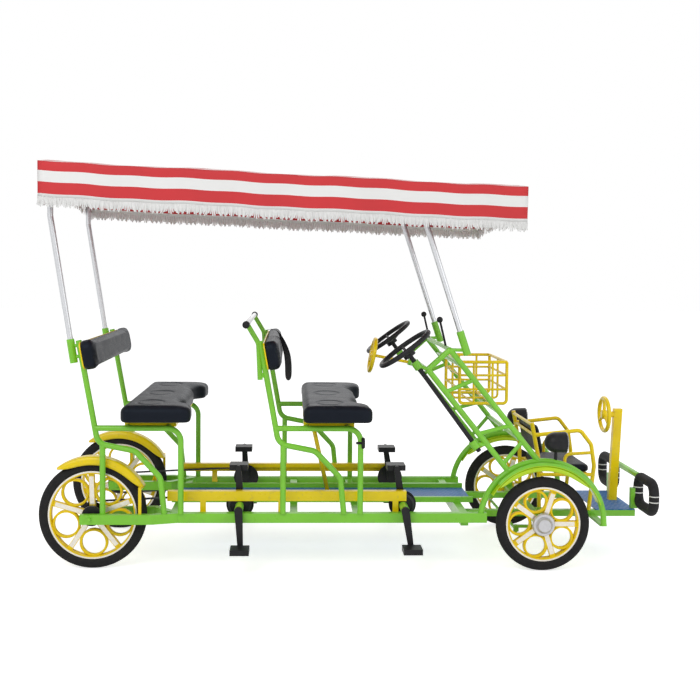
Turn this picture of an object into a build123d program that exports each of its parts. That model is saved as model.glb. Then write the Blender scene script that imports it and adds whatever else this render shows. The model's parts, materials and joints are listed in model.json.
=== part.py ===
"""Four-seat pedal quadricycle with a striped canopy, a front child seat and a padded bumper.

Millimetres. +X is forward, +Y the vehicle's left, +Z up. The origin lies on the ground
under the middle of the vehicle's box.
"""
import os
from math import cos, radians, sin

from build123d import *

# Wheels and axles
REAR_AXLE_X = -1215
REAR_WHEEL_R = 254
REAR_WHEEL_Y = 375
FRONT_AXLE_X = 905
FRONT_WHEEL_R = 222
FRONT_WHEEL_Y = 430
TYRE_WIDTH = 50
TYRE_HEIGHT = 46
RIM_DEPTH = 14
RIM_WIDTH = 36
SPOKES = 5
SPOKE_WIDTH = 26
SPOKE_START = {"rear": 92, "front": 0}
RING_AT = 0.68
RING_HOLE = 0.285
RING_WALL = 7
SPOKE_THICK = 24
AXLE_R = 8
HUB_R = 26
RUN_CLEAR = 0.1

# Main rails and what stands on them
RAIL_Y = 420
RAIL_WIDTH = 36
RAIL_HEIGHT = 45
RAIL_Z = 249.5
RAIL_FRONT_X = 640
FLARE_START_X = -810
FLARE_END_X = -930
OUTER_STAY_Y = 455
INNER_STAY_Y = 290
STAY_WIDTH = 30
STAY_END = 45
TUBE_D = 27
RAIL_TOP = RAIL_Z + RAIL_HEIGHT / 2

# Cranks, rings and chains
CRANK_X = (-527, 252)
CRANK_TILT = (3, 9)
CRANK_Z = 290
CRANK_LENGTH = 170
CRANK_THICK = 13
CRANK_BOSS_R = 19
OUTER_ARM_Y = 466
INNER_ARM_Y = 306
BRACKET_R = 20
SPINDLE_R = 9
RING_R = 46
DISC_R = 66
DISC_Y = 318
RING_THICK = 3
SPROCKET_R = 48
CHAIN_Y = {"front": 351, "rear": 335}
CHAIN_WIDTH = 7
CHAIN_HEIGHT = 9
CHAIN_GAP = 0.5
PEDAL = (88, 90, 26)

# Seats
ROW_X = {"rear": -1159, "front": -321}
SEAT_FRAME_Y = 438
SEAT_TUBE_Z = 672
SEAT_WIDTH = 1066
CUSHION_FRONT = 414
CUSHION_BACK = 83
CUSHION_Z = 708
CUSHION_HEIGHT = 77
NOTCH_R = 150
NOTCH_DEPTH = 62
NOTCH_Y = 262
MIDDLE_LOBE_SETBACK = 70
PLATE_THICK = 5
BACK_TILT = 10.3
BACK_LOW_Z = 936
BACK_TALL = 150
BACK_THICK = 60

# Canopy
CANOPY_REAR_X = -1414
CANOPY_LENGTH = 2191
CANOPY_HALF_WIDTH = 595
CANOPY_REAR_Z = 1888
CANOPY_DROP_DEG = 2.5
CANOPY_CROWN = 42
VALANCE = 205
CLOTH_THICK = 4
POST_D = 27
POST_Y = 438

# Steering
TRUSS_Y = 420
STEER_WHEEL_D = 290
STEER_RIM_D = 24
STEER_CENTRE = (246, 1046)
COLUMN_DEG = 53.5
SHAFT_D = 22
KINGPIN_Y = 362
KINGPIN_R = 9
ARM_LENGTH = 110

# Front end
ARCH_D = 28
ARCH_R = 295
MUDGUARD_Y = (392, 472)
KEEL_Y = 200
KEEL_WIDTH = 36
KEEL_HEIGHT = 30
KEEL_Z = 220
PLATFORM_X = (1206, 1419)
PLATFORM_HALF_WIDTH = 215
PLATFORM_THICK = 4
BUMPER_X = 1445
BUMPER_D = 48
BUMPER_Y = (184, 406)
BUMPER_Z = (264, 400)
SIDES = {"left": 1, "right": -1}

os.makedirs("parts", exist_ok=True)


def keep(part, node):
    """Labels a finished piece and writes it under its node's name."""
    part.label = node
    export_step(part, f"parts/{node}.step")


def tube(points, bend=0, diameter=TUBE_D):
    """Adds a round tube along points, its corners bent to one radius, to the part in progress."""
    with BuildLine() as route:
        if bend:
            FilletPolyline(*points, radius=bend)
        else:
            Polyline(*points)
    with BuildSketch(Plane(origin=route.line @ 0, z_dir=route.line % 0)) as section:
        Circle(diameter / 2)
    sweep(section.sketch, path=route.line)


def cope(*neighbours):
    """Trims the part in progress to the faces of the pieces that it is welded to or sits on."""
    for neighbour in neighbours:
        add(neighbour, mode=Mode.SUBTRACT)


def bar(low, high):
    """Adds a box between two opposite corners to the part in progress."""
    sizes = [b - a for a, b in zip(low, high)]
    with Locations(tuple((a + b) / 2 for a, b in zip(low, high))):
        Box(*sizes)


def sideways(x, y, z, side=1):
    """A plane at a point whose normal points out of the vehicle's given side."""
    return Plane(origin=(x, y, z), x_dir=(1, 0, 0), z_dir=(0, side, 0))


def post_x(z):
    """X of a seat's back post, from its row's rear leg, at a height above the bend."""
    return -22 - (z - 600) * 0.182


def backrest_plane(row_x):
    """The plane through a seat's back posts, its origin at the backrest's lower edge."""
    return Plane(origin=(row_x + post_x(BACK_LOW_Z), 0, BACK_LOW_Z), x_dir=(0, 1, 0),
                 z_dir=(cos(radians(BACK_TILT)), 0, sin(radians(BACK_TILT))))


def wheel(x, y, radius, side, start):
    """A cast wheel: rim, hub, five straight spokes and a round ring in each space between them."""
    rim_outer = radius - TYRE_HEIGHT
    rim_inner = rim_outer - RIM_DEPTH
    plane = sideways(x, y, radius, side)
    with BuildPart() as cast:
        with BuildSketch(plane):
            Circle(rim_outer)
            Circle(rim_inner, mode=Mode.SUBTRACT)
        extrude(amount=RIM_WIDTH / 2, both=True)
        with BuildSketch(plane):
            with PolarLocations(rim_inner / 2, SPOKES, start_angle=start):
                Rectangle(rim_inner + 8, SPOKE_WIDTH)
            between = start + 180 / SPOKES
            with PolarLocations(rim_inner * RING_AT, SPOKES, start_angle=between):
                Circle(rim_inner * RING_HOLE + RING_WALL)
            with PolarLocations(rim_inner * RING_AT, SPOKES, start_angle=between):
                Circle(rim_inner * RING_HOLE, mode=Mode.SUBTRACT)
        extrude(amount=SPOKE_THICK / 2, both=True)
        with BuildSketch(plane):
            Circle(HUB_R)
        extrude(amount=TYRE_WIDTH / 2, both=True)
        with BuildSketch(plane.offset(-TYRE_WIDTH)):
            Circle(AXLE_R + RUN_CLEAR)
        extrude(amount=2 * TYRE_WIDTH, mode=Mode.SUBTRACT)
    return cast.part


def tyre(x, y, radius):
    """A round-shouldered tyre, turned about the wheel's axle."""
    inner = radius - TYRE_HEIGHT
    half = TYRE_WIDTH / 2
    with BuildPart() as ring:
        with BuildSketch(Plane(origin=(x, y, radius), x_dir=(0, 1, 0), z_dir=(1, 0, 0))):
            with BuildLine():
                side_top = radius - half * 0.72
                Polyline((-half, side_top), (-half, inner + 10), (-RIM_WIDTH / 2, inner),
                         (RIM_WIDTH / 2, inner), (half, inner + 10), (half, side_top))
                ThreePointArc((half, side_top), (0, radius), (-half, side_top))
            make_face()
        revolve(axis=Axis((x, y, radius), (0, 1, 0)))
    return ring.part


# Wheels with their tyres
for side_name, side in SIDES.items():
    for end, x, y, radius in (("rear", REAR_AXLE_X, REAR_WHEEL_Y, REAR_WHEEL_R),
                              ("front", FRONT_AXLE_X, FRONT_WHEEL_Y, FRONT_WHEEL_R)):
        keep(wheel(x, side * y, radius, side, SPOKE_START[end]), f"wheel_{end}_{side_name}")
        keep(tyre(x, side * y, radius), f"tyre_{end}_{side_name}")

# Rear hubs: brake drum outside, chain sprocket inside
for side_name, side in SIDES.items():
    centre = (REAR_AXLE_X, side * REAR_WHEEL_Y, REAR_WHEEL_R)
    outward = sideways(*centre, side)
    sprocket_at = CHAIN_Y["rear"] - REAR_WHEEL_Y
    with BuildPart() as hub:
        with BuildSketch(outward.offset(TYRE_WIDTH / 2)):
            Circle(48)
        extrude(amount=18, taper=4)
        with BuildSketch(outward.offset(-TYRE_WIDTH / 2)):
            Circle(HUB_R - 4)
        extrude(amount=sprocket_at + TYRE_WIDTH / 2 - 8)
        with BuildSketch(outward.offset(sprocket_at - RING_THICK / 2)):
            Circle(SPROCKET_R)
        extrude(amount=RING_THICK)
        with BuildSketch(outward.offset(-2 * TYRE_WIDTH)):
            Circle(AXLE_R + RUN_CLEAR)
        extrude(amount=4 * TYRE_WIDTH, mode=Mode.SUBTRACT)
    keep(hub.part, f"rear_hub_{side_name}")

# Front hub caps: a grey dome over the outer end of each front hub
for side_name, side in SIDES.items():
    face = sideways(FRONT_AXLE_X, side * (FRONT_WHEEL_Y + TYRE_WIDTH / 2), FRONT_WHEEL_R, side)
    with BuildPart() as cap:
        with BuildSketch(face):
            Circle(54)
        extrude(amount=12, taper=20)
        with BuildSketch(face.offset(12)):
            Circle(40)
        extrude(amount=16, taper=35)
    keep(cap.part, f"front_hub_cap_{side_name}")

rails = []

# Main frame: rails that split round the rear wheels, cross members, crank brackets and axles
for side_name, side in SIDES.items():
    stay_end_x = REAR_AXLE_X - STAY_END
    with BuildPart() as rail:
        with BuildSketch(Plane.XY.offset(RAIL_Z - RAIL_HEIGHT / 2)):
            with BuildLine():
                Polyline((RAIL_FRONT_X, side * RAIL_Y), (FLARE_START_X, side * RAIL_Y))
            trace(line_width=RAIL_WIDTH)
            for stay_y in (OUTER_STAY_Y, INNER_STAY_Y):
                with BuildLine():
                    Polyline((FLARE_START_X + 30, side * RAIL_Y), (FLARE_START_X, side * RAIL_Y),
                             (FLARE_END_X, side * stay_y), (stay_end_x, side * stay_y))
                trace(line_width=STAY_WIDTH)
        extrude(amount=RAIL_HEIGHT)
        axle_low = INNER_STAY_Y - STAY_WIDTH / 2 - 14
        with BuildSketch(sideways(REAR_AXLE_X, side * axle_low, REAR_WHEEL_R, side)):
            Circle(AXLE_R)
        extrude(amount=OUTER_STAY_Y + STAY_WIDTH / 2 + 14 - axle_low)
        for crank_x in CRANK_X:
            shell_low = CHAIN_Y["front"] + 8
            shell_length = OUTER_ARM_Y - CRANK_THICK / 2 - 5 - shell_low
            with BuildSketch(sideways(crank_x, side * shell_low, CRANK_Z, side)):
                Circle(BRACKET_R)
            extrude(amount=shell_length)
            with BuildSketch(sideways(crank_x, side * shell_low, CRANK_Z, side)):
                Circle(SPINDLE_R + RUN_CLEAR)
            extrude(amount=shell_length, mode=Mode.SUBTRACT)
    keep(rail.part, f"rail_{side_name}")
    rails.append(rail.part)

# Cross members between the rails, with the green edge bars of the walkway on them
CROSS_X = (-835, -270, 30, 540)
REAR_CROSS_HALF = 385
CROSS_HALF_WIDTH = 18
CROSS_TOP = RAIL_Z + 14
CROSS_HEIGHT = 16
WALK_X = (-870, 620)
WALK_HALF = 150
EDGE_WIDTH = 22
with BuildPart() as crosses:
    for x in CROSS_X:
        inner = REAR_CROSS_HALF if x == CROSS_X[0] else RAIL_Y - RAIL_WIDTH / 2
        cross_low = CROSS_TOP - CROSS_HEIGHT if x < CROSS_X[-1] else KEEL_Z - KEEL_HEIGHT / 2
        bar((x - CROSS_HALF_WIDTH, -inner, cross_low), (x + CROSS_HALF_WIDTH, inner, CROSS_TOP))
    for side in SIDES.values():
        low, high = sorted((side * WALK_HALF, side * (WALK_HALF + EDGE_WIDTH)))
        bar((WALK_X[0], low, CROSS_TOP), (WALK_X[1], high, CROSS_TOP + 26))
    cope(*rails)
keep(crosses.part, "cross_members")

# Walkway: a blue plate on the cross members, between the edge bars
with BuildPart() as walkway:
    bar((WALK_X[0], -WALK_HALF, CROSS_TOP), (WALK_X[1], WALK_HALF, CROSS_TOP + 4))
keep(walkway.part, "walkway")

seat_frames = {}

# Seat side frames: back post running into a curved brace, seat tube with front leg, rear leg
for row, row_x in ROW_X.items():
    with BuildPart() as frame:
        for side in SIDES.values():
            y = side * SEAT_FRAME_Y

            def at(x, z):
                return (row_x + x, y, z)

            tube([at(post_x(1080), 1080), at(post_x(600), 600), at(150, 566), at(268, 440),
                  at(285, RAIL_TOP)], bend=58)
            tube([at(post_x(SEAT_TUBE_Z), SEAT_TUBE_Z), at(362, SEAT_TUBE_Z), at(362, RAIL_TOP)], bend=62)
            tube([at(0, 592), at(0, RAIL_TOP)])
        for x in (110, 300):
            tube([(row_x + x, -SEAT_FRAME_Y, SEAT_TUBE_Z), (row_x + x, SEAT_FRAME_Y, SEAT_TUBE_Z)])
        cope(*rails)
    keep(frame.part, f"seat_frame_{row}")
    seat_frames[row] = frame.part

    # Bench cushion: two rounded notches leave a lobe at each end and a shorter one between
    with BuildPart() as cushion:
        front = row_x + CUSHION_FRONT
        with BuildSketch(Plane.XY.offset(CUSHION_Z)):
            with Locations((row_x + (CUSHION_FRONT + CUSHION_BACK) / 2, 0)):
                RectangleRounded(CUSHION_FRONT - CUSHION_BACK, SEAT_WIDTH, 38)
            with Locations(*[(front + NOTCH_R - NOTCH_DEPTH, s * NOTCH_Y) for s in (1, -1)]):
                Circle(NOTCH_R, mode=Mode.SUBTRACT)
            with Locations((front, 0)):
                Rectangle(2 * MIDDLE_LOBE_SETBACK * 0.6, 2 * NOTCH_Y, mode=Mode.SUBTRACT)
        extrude(amount=CUSHION_HEIGHT)
        fillet(cushion.faces().sort_by(Axis.Z)[-1].edges(), radius=18)
    keep(cushion.part, f"cushion_{row}")

    # Backrest pad, leaning with the back posts
    with BuildPart() as pad:
        with BuildSketch(backrest_plane(row_x).offset(TUBE_D / 2 + PLATE_THICK + 0.3)):
            with Locations((0, BACK_TALL / 2)):
                RectangleRounded(SEAT_WIDTH, BACK_TALL, 45)
        extrude(amount=BACK_THICK)
        fillet(pad.faces().sort_by(Axis.X)[-1].edges(), radius=20)
    keep(pad.part, f"backrest_{row}")

# Yellow plates: three under each cushion and one behind each backrest pad
with BuildPart() as plates:
    for row_x in ROW_X.values():
        for y in (-330, 0, 330):
            bar((row_x + 95, y - 60, SEAT_TUBE_Z), (row_x + 335, y + 60, CUSHION_Z - 0.3))
        with BuildSketch(backrest_plane(row_x).offset(TUBE_D / 2 - 1)):
            with Locations((0, BACK_TALL / 2)):
                RectangleRounded(SEAT_WIDTH - 30, BACK_TALL - 24, 30)
        extrude(amount=PLATE_THICK + 1)
    cope(*seat_frames.values())
keep(plates.part, "seat_plates")

# Canopy posts, rear sockets and front brackets
slope = Vector(cos(radians(CANOPY_DROP_DEG)), 0, -sin(radians(CANOPY_DROP_DEG)))


def canopy_z(x):
    """Height of the canopy's long edge at a given X."""
    return CANOPY_REAR_Z - (x - CANOPY_REAR_X) * sin(radians(CANOPY_DROP_DEG))


POST_FOOT = {"rear": (ROW_X["rear"] - 130, 975), "front": (538, 1020)}
POST_LEAN = {"rear": -0.158, "front": -0.333}
REAR_KNEE_Z = 1650
POST_SOCKET = 110
FRAME_D = 22
BOW_D = 18
FRAME_GAP = 8.25
frame_drop = CLOTH_THICK + FRAME_D / 2 + FRAME_GAP - CANOPY_CROWN * (1 - (POST_Y / CANOPY_HALF_WIDTH) ** 2)
bow_drop = CLOTH_THICK + BOW_D / 2 + 0.3


def post_route(end, y):
    """A post's axis from its foot to the canopy's long frame tube; a rear post turns upright at its knee."""
    foot_x, foot_z = POST_FOOT[end]
    lean_end_z = REAR_KNEE_Z if end == "rear" else canopy_z(foot_x) - frame_drop
    lean_end_x = foot_x + (lean_end_z - foot_z) * POST_LEAN[end]
    top = (lean_end_x, y, canopy_z(lean_end_x) - frame_drop)
    knee = [(lean_end_x, y, lean_end_z)] if end == "rear" else []
    return [(foot_x, y, foot_z), *knee, top]


def post_axis(end, y, z):
    """The point on a post's leaning part at a height."""
    foot_x, foot_z = POST_FOOT[end]
    return (foot_x + (z - foot_z) * POST_LEAN[end], y, z)


# Canopy frame: two long tubes over the posts and bowed cross tubes under the cloth
FRAME_HALF = CANOPY_HALF_WIDTH - CLOTH_THICK - FRAME_D / 2 - 0.3
BOW_SHARES = (0.02, 0.34, 0.66, 0.98)
with BuildPart() as canopy_frame:
    ends = (CANOPY_REAR_X + 8, CANOPY_REAR_X + CANOPY_LENGTH - 8)
    for y in (-POST_Y, POST_Y):
        tube([(x, y, canopy_z(x) - frame_drop) for x in ends], diameter=FRAME_D)
    for share in BOW_SHARES:
        x = CANOPY_REAR_X + share * CANOPY_LENGTH
        z = canopy_z(x) - bow_drop
        with BuildLine() as bow:
            ThreePointArc((x, -FRAME_HALF, z), (x, 0, z + CANOPY_CROWN), (x, FRAME_HALF, z))
        with BuildSketch(Plane(origin=bow.line @ 0, z_dir=bow.line % 0)) as section:
            Circle(BOW_D / 2)
        sweep(section.sketch, path=bow.line)
keep(canopy_frame.part, "canopy_frame")

# Posts from the seats and the steering trusses up to the canopy's long tubes
with BuildPart() as posts:
    for end in POST_FOOT:
        for side in SIDES.values():
            tube(post_route(end, side * POST_Y), bend=40 if end == "rear" else 0, diameter=POST_D)
    cope(canopy_frame.part)
keep(posts.part, "canopy_posts")

# Canopy cloth: a crowned top with a hanging valance all round, open below
with BuildPart() as canopy:
    rear = Plane(origin=(CANOPY_REAR_X, 0, CANOPY_REAR_Z), x_dir=(0, 1, 0), z_dir=slope)
    for inset, mode in ((0, Mode.ADD), (CLOTH_THICK, Mode.SUBTRACT)):
        half = CANOPY_HALF_WIDTH - inset
        drop = VALANCE + (1 if inset else 0)
        with BuildSketch(rear.offset(inset)):
            with BuildLine():
                Polyline((-half, -inset), (-half, -drop), (half, -drop), (half, -inset))
                ThreePointArc((half, -inset), (0, CANOPY_CROWN - inset), (-half, -inset))
            make_face()
        extrude(amount=CANOPY_LENGTH - 2 * inset, mode=mode)
keep(canopy.part, "canopy")

# Grab handle behind the front seats: two bent tubes and a crossbar with end grips
HANDLE_FOOT = (-430, 900)
HANDLE_TOP = (-492, 1160)
HANDLE_HALF = 560
with BuildPart() as crossbar:
    tube([(HANDLE_TOP[0], -HANDLE_HALF, HANDLE_TOP[1]), (HANDLE_TOP[0], HANDLE_HALF, HANDLE_TOP[1])],
         diameter=24)
keep(crossbar.part, "grab_handle_bar")
with BuildPart() as handle:
    for side in SIDES.values():
        y = side * SEAT_FRAME_Y
        tube([(HANDLE_FOOT[0], y, HANDLE_FOOT[1]), (HANDLE_FOOT[0] - 8, y, 1070),
              (HANDLE_TOP[0], y, HANDLE_TOP[1])], bend=60, diameter=24)
        for z in (910, 990):
            bar((HANDLE_FOOT[0], y - 6, z), (ROW_X["front"] + post_x(z), y + 6, z + 22))
    cope(crossbar.part, seat_frames["front"])
keep(handle.part, "grab_handle_tubes")

# Steering trusses: two leaning tubes a side with rungs, and cross tubes between the sides
REAR_MEMBER = ((355, 949), (742, 468))
FRONT_MEMBER = ((458, 1043), (884, 516))
RUNGS = ((0.22, 0.27), (0.63, 0.68), (0.93, 0.82))


def along(line, share):
    """X and Z of a point a share of the way down a leaning tube."""
    (x0, z0), (x1, z1) = line
    return x0 + (x1 - x0) * share, z0 + (z1 - z0) * share


COLUMN = Vector(cos(radians(COLUMN_DEG)), 0, -sin(radians(COLUMN_DEG)))
BEARING_R = 20
BEARING_LENGTH = 40
MIDDLE_CENTRE = (127, 0, 981)
MIDDLE_AXIS = Vector(cos(radians(11)), 0, -sin(radians(11)))
MIDDLE_SHAFT = 212
MIDDLE_SHAFT_D = 16


def steer_point(y, distance):
    """A point on a steering column's axis, a distance forward of the hand wheel's rim."""
    point = Vector(STEER_CENTRE[0], y, STEER_CENTRE[1]) + COLUMN * distance
    return (point.X, point.Y, point.Z)


def middle_point(distance):
    """A point on the middle hand wheel's axis, a distance forward of its rim."""
    point = Vector(*MIDDLE_CENTRE) + MIDDLE_AXIS * distance
    return (point.X, point.Y, point.Z)


def around_front(y, radius, degrees):
    """A point about the front axle, at an angle measured from forward over the top."""
    angle = radians(degrees)
    return (FRONT_AXLE_X + radius * cos(angle), y, FRONT_WHEEL_R + radius * sin(angle))


def arch(y, radius, start, end, diameter, leg=0):
    """Adds a tube bent to an arc about the front axle, with a straight leg at its end, to the part."""
    first, middle, last = [around_front(y, radius, a) for a in (start, (start + end) / 2, end)]
    with BuildLine() as route:
        ThreePointArc(first, middle, last)
        if leg:
            Line(last, (last[0], y, last[2] - leg))
    with BuildSketch(Plane(origin=route.line @ 0, z_dir=route.line % 0)) as section:
        Circle(diameter / 2)
    sweep(section.sketch, path=route.line)


# Front frame: two keels from the last cross member to the bumper, axle beam and kingpin yokes
BEAM_HALF = 20
YOKE_WALL = 12
LUG_Z = ((168, 180), (264, 276))
LUG_Y = (325, 381)
BUMPER_BACK_X = BUMPER_X - BUMPER_D / 2
keel_start = CROSS_X[-1] + CROSS_HALF_WIDTH
with BuildPart() as front_frame:
    for side in SIDES.values():
        keel_low, keel_high = sorted((side * (KEEL_Y - KEEL_WIDTH / 2), side * (KEEL_Y + KEEL_WIDTH / 2)))
        bar((keel_start, keel_low, KEEL_Z - KEEL_HEIGHT / 2),
            (PLATFORM_X[1], keel_high, KEEL_Z + KEEL_HEIGHT / 2))
        lug_low, lug_high = sorted((side * LUG_Y[0], side * LUG_Y[1]))
        for z_low, z_high in LUG_Z:
            bar((FRONT_AXLE_X - BEAM_HALF, lug_low, z_low), (FRONT_AXLE_X + BEAM_HALF, lug_high, z_high))
        wall_low, wall_high = sorted((side * LUG_Y[0], side * (LUG_Y[0] + YOKE_WALL)))
        bar((FRONT_AXLE_X - BEAM_HALF, wall_low, LUG_Z[0][0]), (FRONT_AXLE_X + BEAM_HALF, wall_high, LUG_Z[1][1]))
    bar((FRONT_AXLE_X - BEAM_HALF, -LUG_Y[0], FRONT_WHEEL_R - BEAM_HALF),
        (FRONT_AXLE_X + BEAM_HALF, LUG_Y[0], FRONT_WHEEL_R + BEAM_HALF))
    front_low = KEEL_Z - KEEL_HEIGHT / 2
    bar((PLATFORM_X[1] - 20, -KEEL_Y, front_low), (PLATFORM_X[1], KEEL_Y, KEEL_Z + KEEL_HEIGHT / 2))
    with Locations(*[(FRONT_AXLE_X, side * KINGPIN_Y, FRONT_WHEEL_R) for side in SIDES.values()]):
        Cylinder(KINGPIN_R + RUN_CLEAR, 160, mode=Mode.SUBTRACT)
keep(front_frame.part, "front_frame")

# Arches over the front wheels, from the rails' front ends to the platform
with BuildPart() as arches:
    for side in SIDES.values():
        arch(side * RAIL_Y, ARCH_R, 176, 0, ARCH_D, leg=12)
        foot = around_front(side * RAIL_Y, ARCH_R, 0)
        low = min(side * RAIL_Y, side * (PLATFORM_HALF_WIDTH - 10))
        high = max(side * RAIL_Y, side * (PLATFORM_HALF_WIDTH - 10))
        bar((foot[0] - 16, low, KEEL_Z - 15), (foot[0] + 16, high, KEEL_Z - 3))
        arch(side * (MUDGUARD_Y[1] - 8), ARCH_R - 8, 138, 22, 18)
    cope(*rails, front_frame.part)
keep(arches.part, "front_arches")

with BuildPart() as truss:
    for side in SIDES.values():
        y = side * TRUSS_Y
        for line in (REAR_MEMBER, FRONT_MEMBER):
            tube([(x, y, z) for x, z in line])
        top_back, top_front = REAR_MEMBER[0], FRONT_MEMBER[0]
        tube([(top_back[0], y, top_back[1]), (top_front[0], y, top_front[1])])
        for back_share, front_share in RUNGS:
            (x0, z0), (x1, z1) = along(REAR_MEMBER, back_share), along(FRONT_MEMBER, front_share)
            tube([(x0, y, z0), (x1, y, z1)], diameter=20)
    for line, share in ((REAR_MEMBER, 0.02), (FRONT_MEMBER, 0.0), (FRONT_MEMBER, 0.15),
                        (FRONT_MEMBER, 0.5655), (FRONT_MEMBER, 0.82)):
        x, z = along(line, share)
        tube([(x, -TRUSS_Y, z), (x, TRUSS_Y, z)], diameter=22)
    for y, distances in ((-TRUSS_Y, (95, 560)), (TRUSS_Y, (95,))):
        for distance in distances:
            x, _, z = steer_point(y, distance)
            with Locations(Plane(origin=(x, y, z), z_dir=COLUMN)):
                Cylinder(BEARING_R, BEARING_LENGTH)
            share = (REAR_MEMBER[0][1] - z) / (REAR_MEMBER[0][1] - REAR_MEMBER[1][1])
            member = along(REAR_MEMBER, max(0, share))
            tube([(x, y, z), (member[0], y, member[1])], diameter=18)
        for distance in distances:
            with Locations(Plane(origin=steer_point(y, distance), z_dir=COLUMN)):
                Cylinder(SHAFT_D / 2 + RUN_CLEAR, 3 * BEARING_LENGTH, mode=Mode.SUBTRACT)
    with Locations(Plane(origin=middle_point(MIDDLE_SHAFT + 3), z_dir=MIDDLE_AXIS)):
        Cylinder(15, 60)
    with Locations(Plane(origin=middle_point(MIDDLE_SHAFT - 25), z_dir=MIDDLE_AXIS)):
        Cylinder(MIDDLE_SHAFT_D / 2 + RUN_CLEAR, 60, mode=Mode.SUBTRACT)
    cope(arches.part)
keep(truss.part, "steering_trusses")

# Steering wheels: rim, three spokes and hub, the right one on a long shaft down to its lower bearing
SHAFT_END = {"right": 600, "left": 120}
for side_name, side in SIDES.items():
    y = side * TRUSS_Y
    rim = Plane(origin=steer_point(y, 0), x_dir=(0, 1, 0), z_dir=COLUMN)
    rim_r = STEER_WHEEL_D / 2 - STEER_RIM_D / 2
    with BuildPart() as hand_wheel:
        with Locations(rim):
            Torus(rim_r, STEER_RIM_D / 2)
        for degrees in (0, 90, 180):
            tip = rim.from_local_coords((rim_r * cos(radians(degrees)), rim_r * sin(radians(degrees)), 0))
            tube([steer_point(y, 32), tuple(tip)], diameter=14)
        with Locations(Plane(origin=steer_point(y, 32), z_dir=COLUMN)):
            Cylinder(30, 26)
        tube([steer_point(y, 30), steer_point(y, SHAFT_END[side_name])], diameter=SHAFT_D)
        if side_name == "right":
            foot = steer_point(y, SHAFT_END["right"] - 8)
            tube([foot, (foot[0], y + 75, foot[2])], diameter=14)
    keep(hand_wheel.part, f"steering_wheel_{side_name}")

# Small hand wheels: one for the middle seat and one for the child, each on its own short shaft
CHILD_CENTRE = (1324, 0, 680)
SMALL_WHEELS = {"middle": (MIDDLE_CENTRE, MIDDLE_AXIS, MIDDLE_SHAFT, 90, 8),
                "child": (CHILD_CENTRE, Vector(1, 0, 0), 62, 92, 8)}
for name, (centre, axis, length, outer_r, rim_half) in SMALL_WHEELS.items():
    rim = Plane(origin=centre, x_dir=(0, 1, 0), z_dir=axis)
    rim_r = outer_r - rim_half
    with BuildPart() as small:
        with Locations(rim):
            Torus(rim_r, rim_half)
        for degrees in (90, 210, 330):
            tip = rim.from_local_coords((rim_r * cos(radians(degrees)), rim_r * sin(radians(degrees)), 0))
            tube([centre, tuple(tip)], diameter=12)
        end = Vector(*centre) + axis * length
        tube([centre, tuple(end)], diameter=MIDDLE_SHAFT_D)
        with Locations(rim):
            Cylinder(18, 22)
    keep(small.part, f"hand_wheel_{name}")

# Brake levers with ball knobs on the dash tube
with BuildPart() as levers:
    for y in (-300, 300):
        x, z = FRONT_MEMBER[0]
        tube([(x, y, z), (x - 32, y, z + 134)], diameter=11)
        with Locations((x - 32, y, z + 134)):
            Sphere(15)
    cope(truss.part)
keep(levers.part, "brake_levers")

# Sockets that hold the feet of the canopy posts, linked to the seats' back posts and the trusses
with BuildPart() as sockets:
    for end, (foot_x, foot_z) in POST_FOOT.items():
        for side in SIDES.values():
            y = side * POST_Y
            tube([(foot_x, y, foot_z), post_axis(end, y, foot_z + POST_SOCKET)], diameter=POST_D + 9)
            for z in (foot_z + 30, foot_z + 80) if end == "rear" else (foot_z + 22,):
                anchor = (ROW_X["rear"] + post_x(z), SEAT_FRAME_Y)
                if end == "front":
                    drop = (FRONT_MEMBER[0][1] - z) / (FRONT_MEMBER[0][1] - FRONT_MEMBER[1][1])
                    anchor = (along(FRONT_MEMBER, drop)[0], TRUSS_Y)
                tube([(anchor[0], side * anchor[1], z), post_axis(end, y, z)], diameter=16)
    cope(posts.part, seat_frames["rear"], truss.part)
keep(sockets.part, "post_sockets")

# Basket between the trusses: thin walls and floor cut into a grid
BASKET_X = (530, 778)
BASKET_Z = (756, 975)
BASKET_HALF = 230
BASKET_WALL = 6
with BuildPart() as basket:
    bar((BASKET_X[0], -BASKET_HALF, BASKET_Z[0]), (BASKET_X[1], BASKET_HALF, BASKET_Z[1]))
    with Locations(((BASKET_X[0] + BASKET_X[1]) / 2, 0, BASKET_Z[1])):
        Box(BASKET_X[1] - BASKET_X[0] - 2 * BASKET_WALL, 2 * (BASKET_HALF - BASKET_WALL),
            2 * (BASKET_Z[1] - BASKET_Z[0] - BASKET_WALL), mode=Mode.SUBTRACT)
    mid_x, mid_z = sum(BASKET_X) / 2, sum(BASKET_Z) / 2
    with BuildSketch(Plane.XZ.offset(-BASKET_HALF - 5)):
        with Locations((mid_x, mid_z)):
            with GridLocations(59, 70, 4, 3):
                Rectangle(53, 64)
    extrude(amount=2 * BASKET_HALF + 10, mode=Mode.SUBTRACT)
    with BuildSketch(Plane.YZ.offset(BASKET_X[0] - 5)):
        with Locations((0, mid_z)):
            with GridLocations(64, 70, 7, 3):
                Rectangle(58, 64)
    extrude(amount=BASKET_X[1] - BASKET_X[0] + 10, mode=Mode.SUBTRACT)
    with BuildSketch(Plane.XY.offset(BASKET_Z[0] - 5)):
        with Locations((mid_x, 0)):
            with GridLocations(59, 64, 4, 7):
                Rectangle(53, 58)
    extrude(amount=BASKET_WALL + 10, mode=Mode.SUBTRACT)
    cope(truss.part)
keep(basket.part, "basket")

# Front mudguards: a curved sheet under each arch and its outer edge tube
GUARD_THICK = 3


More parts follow.
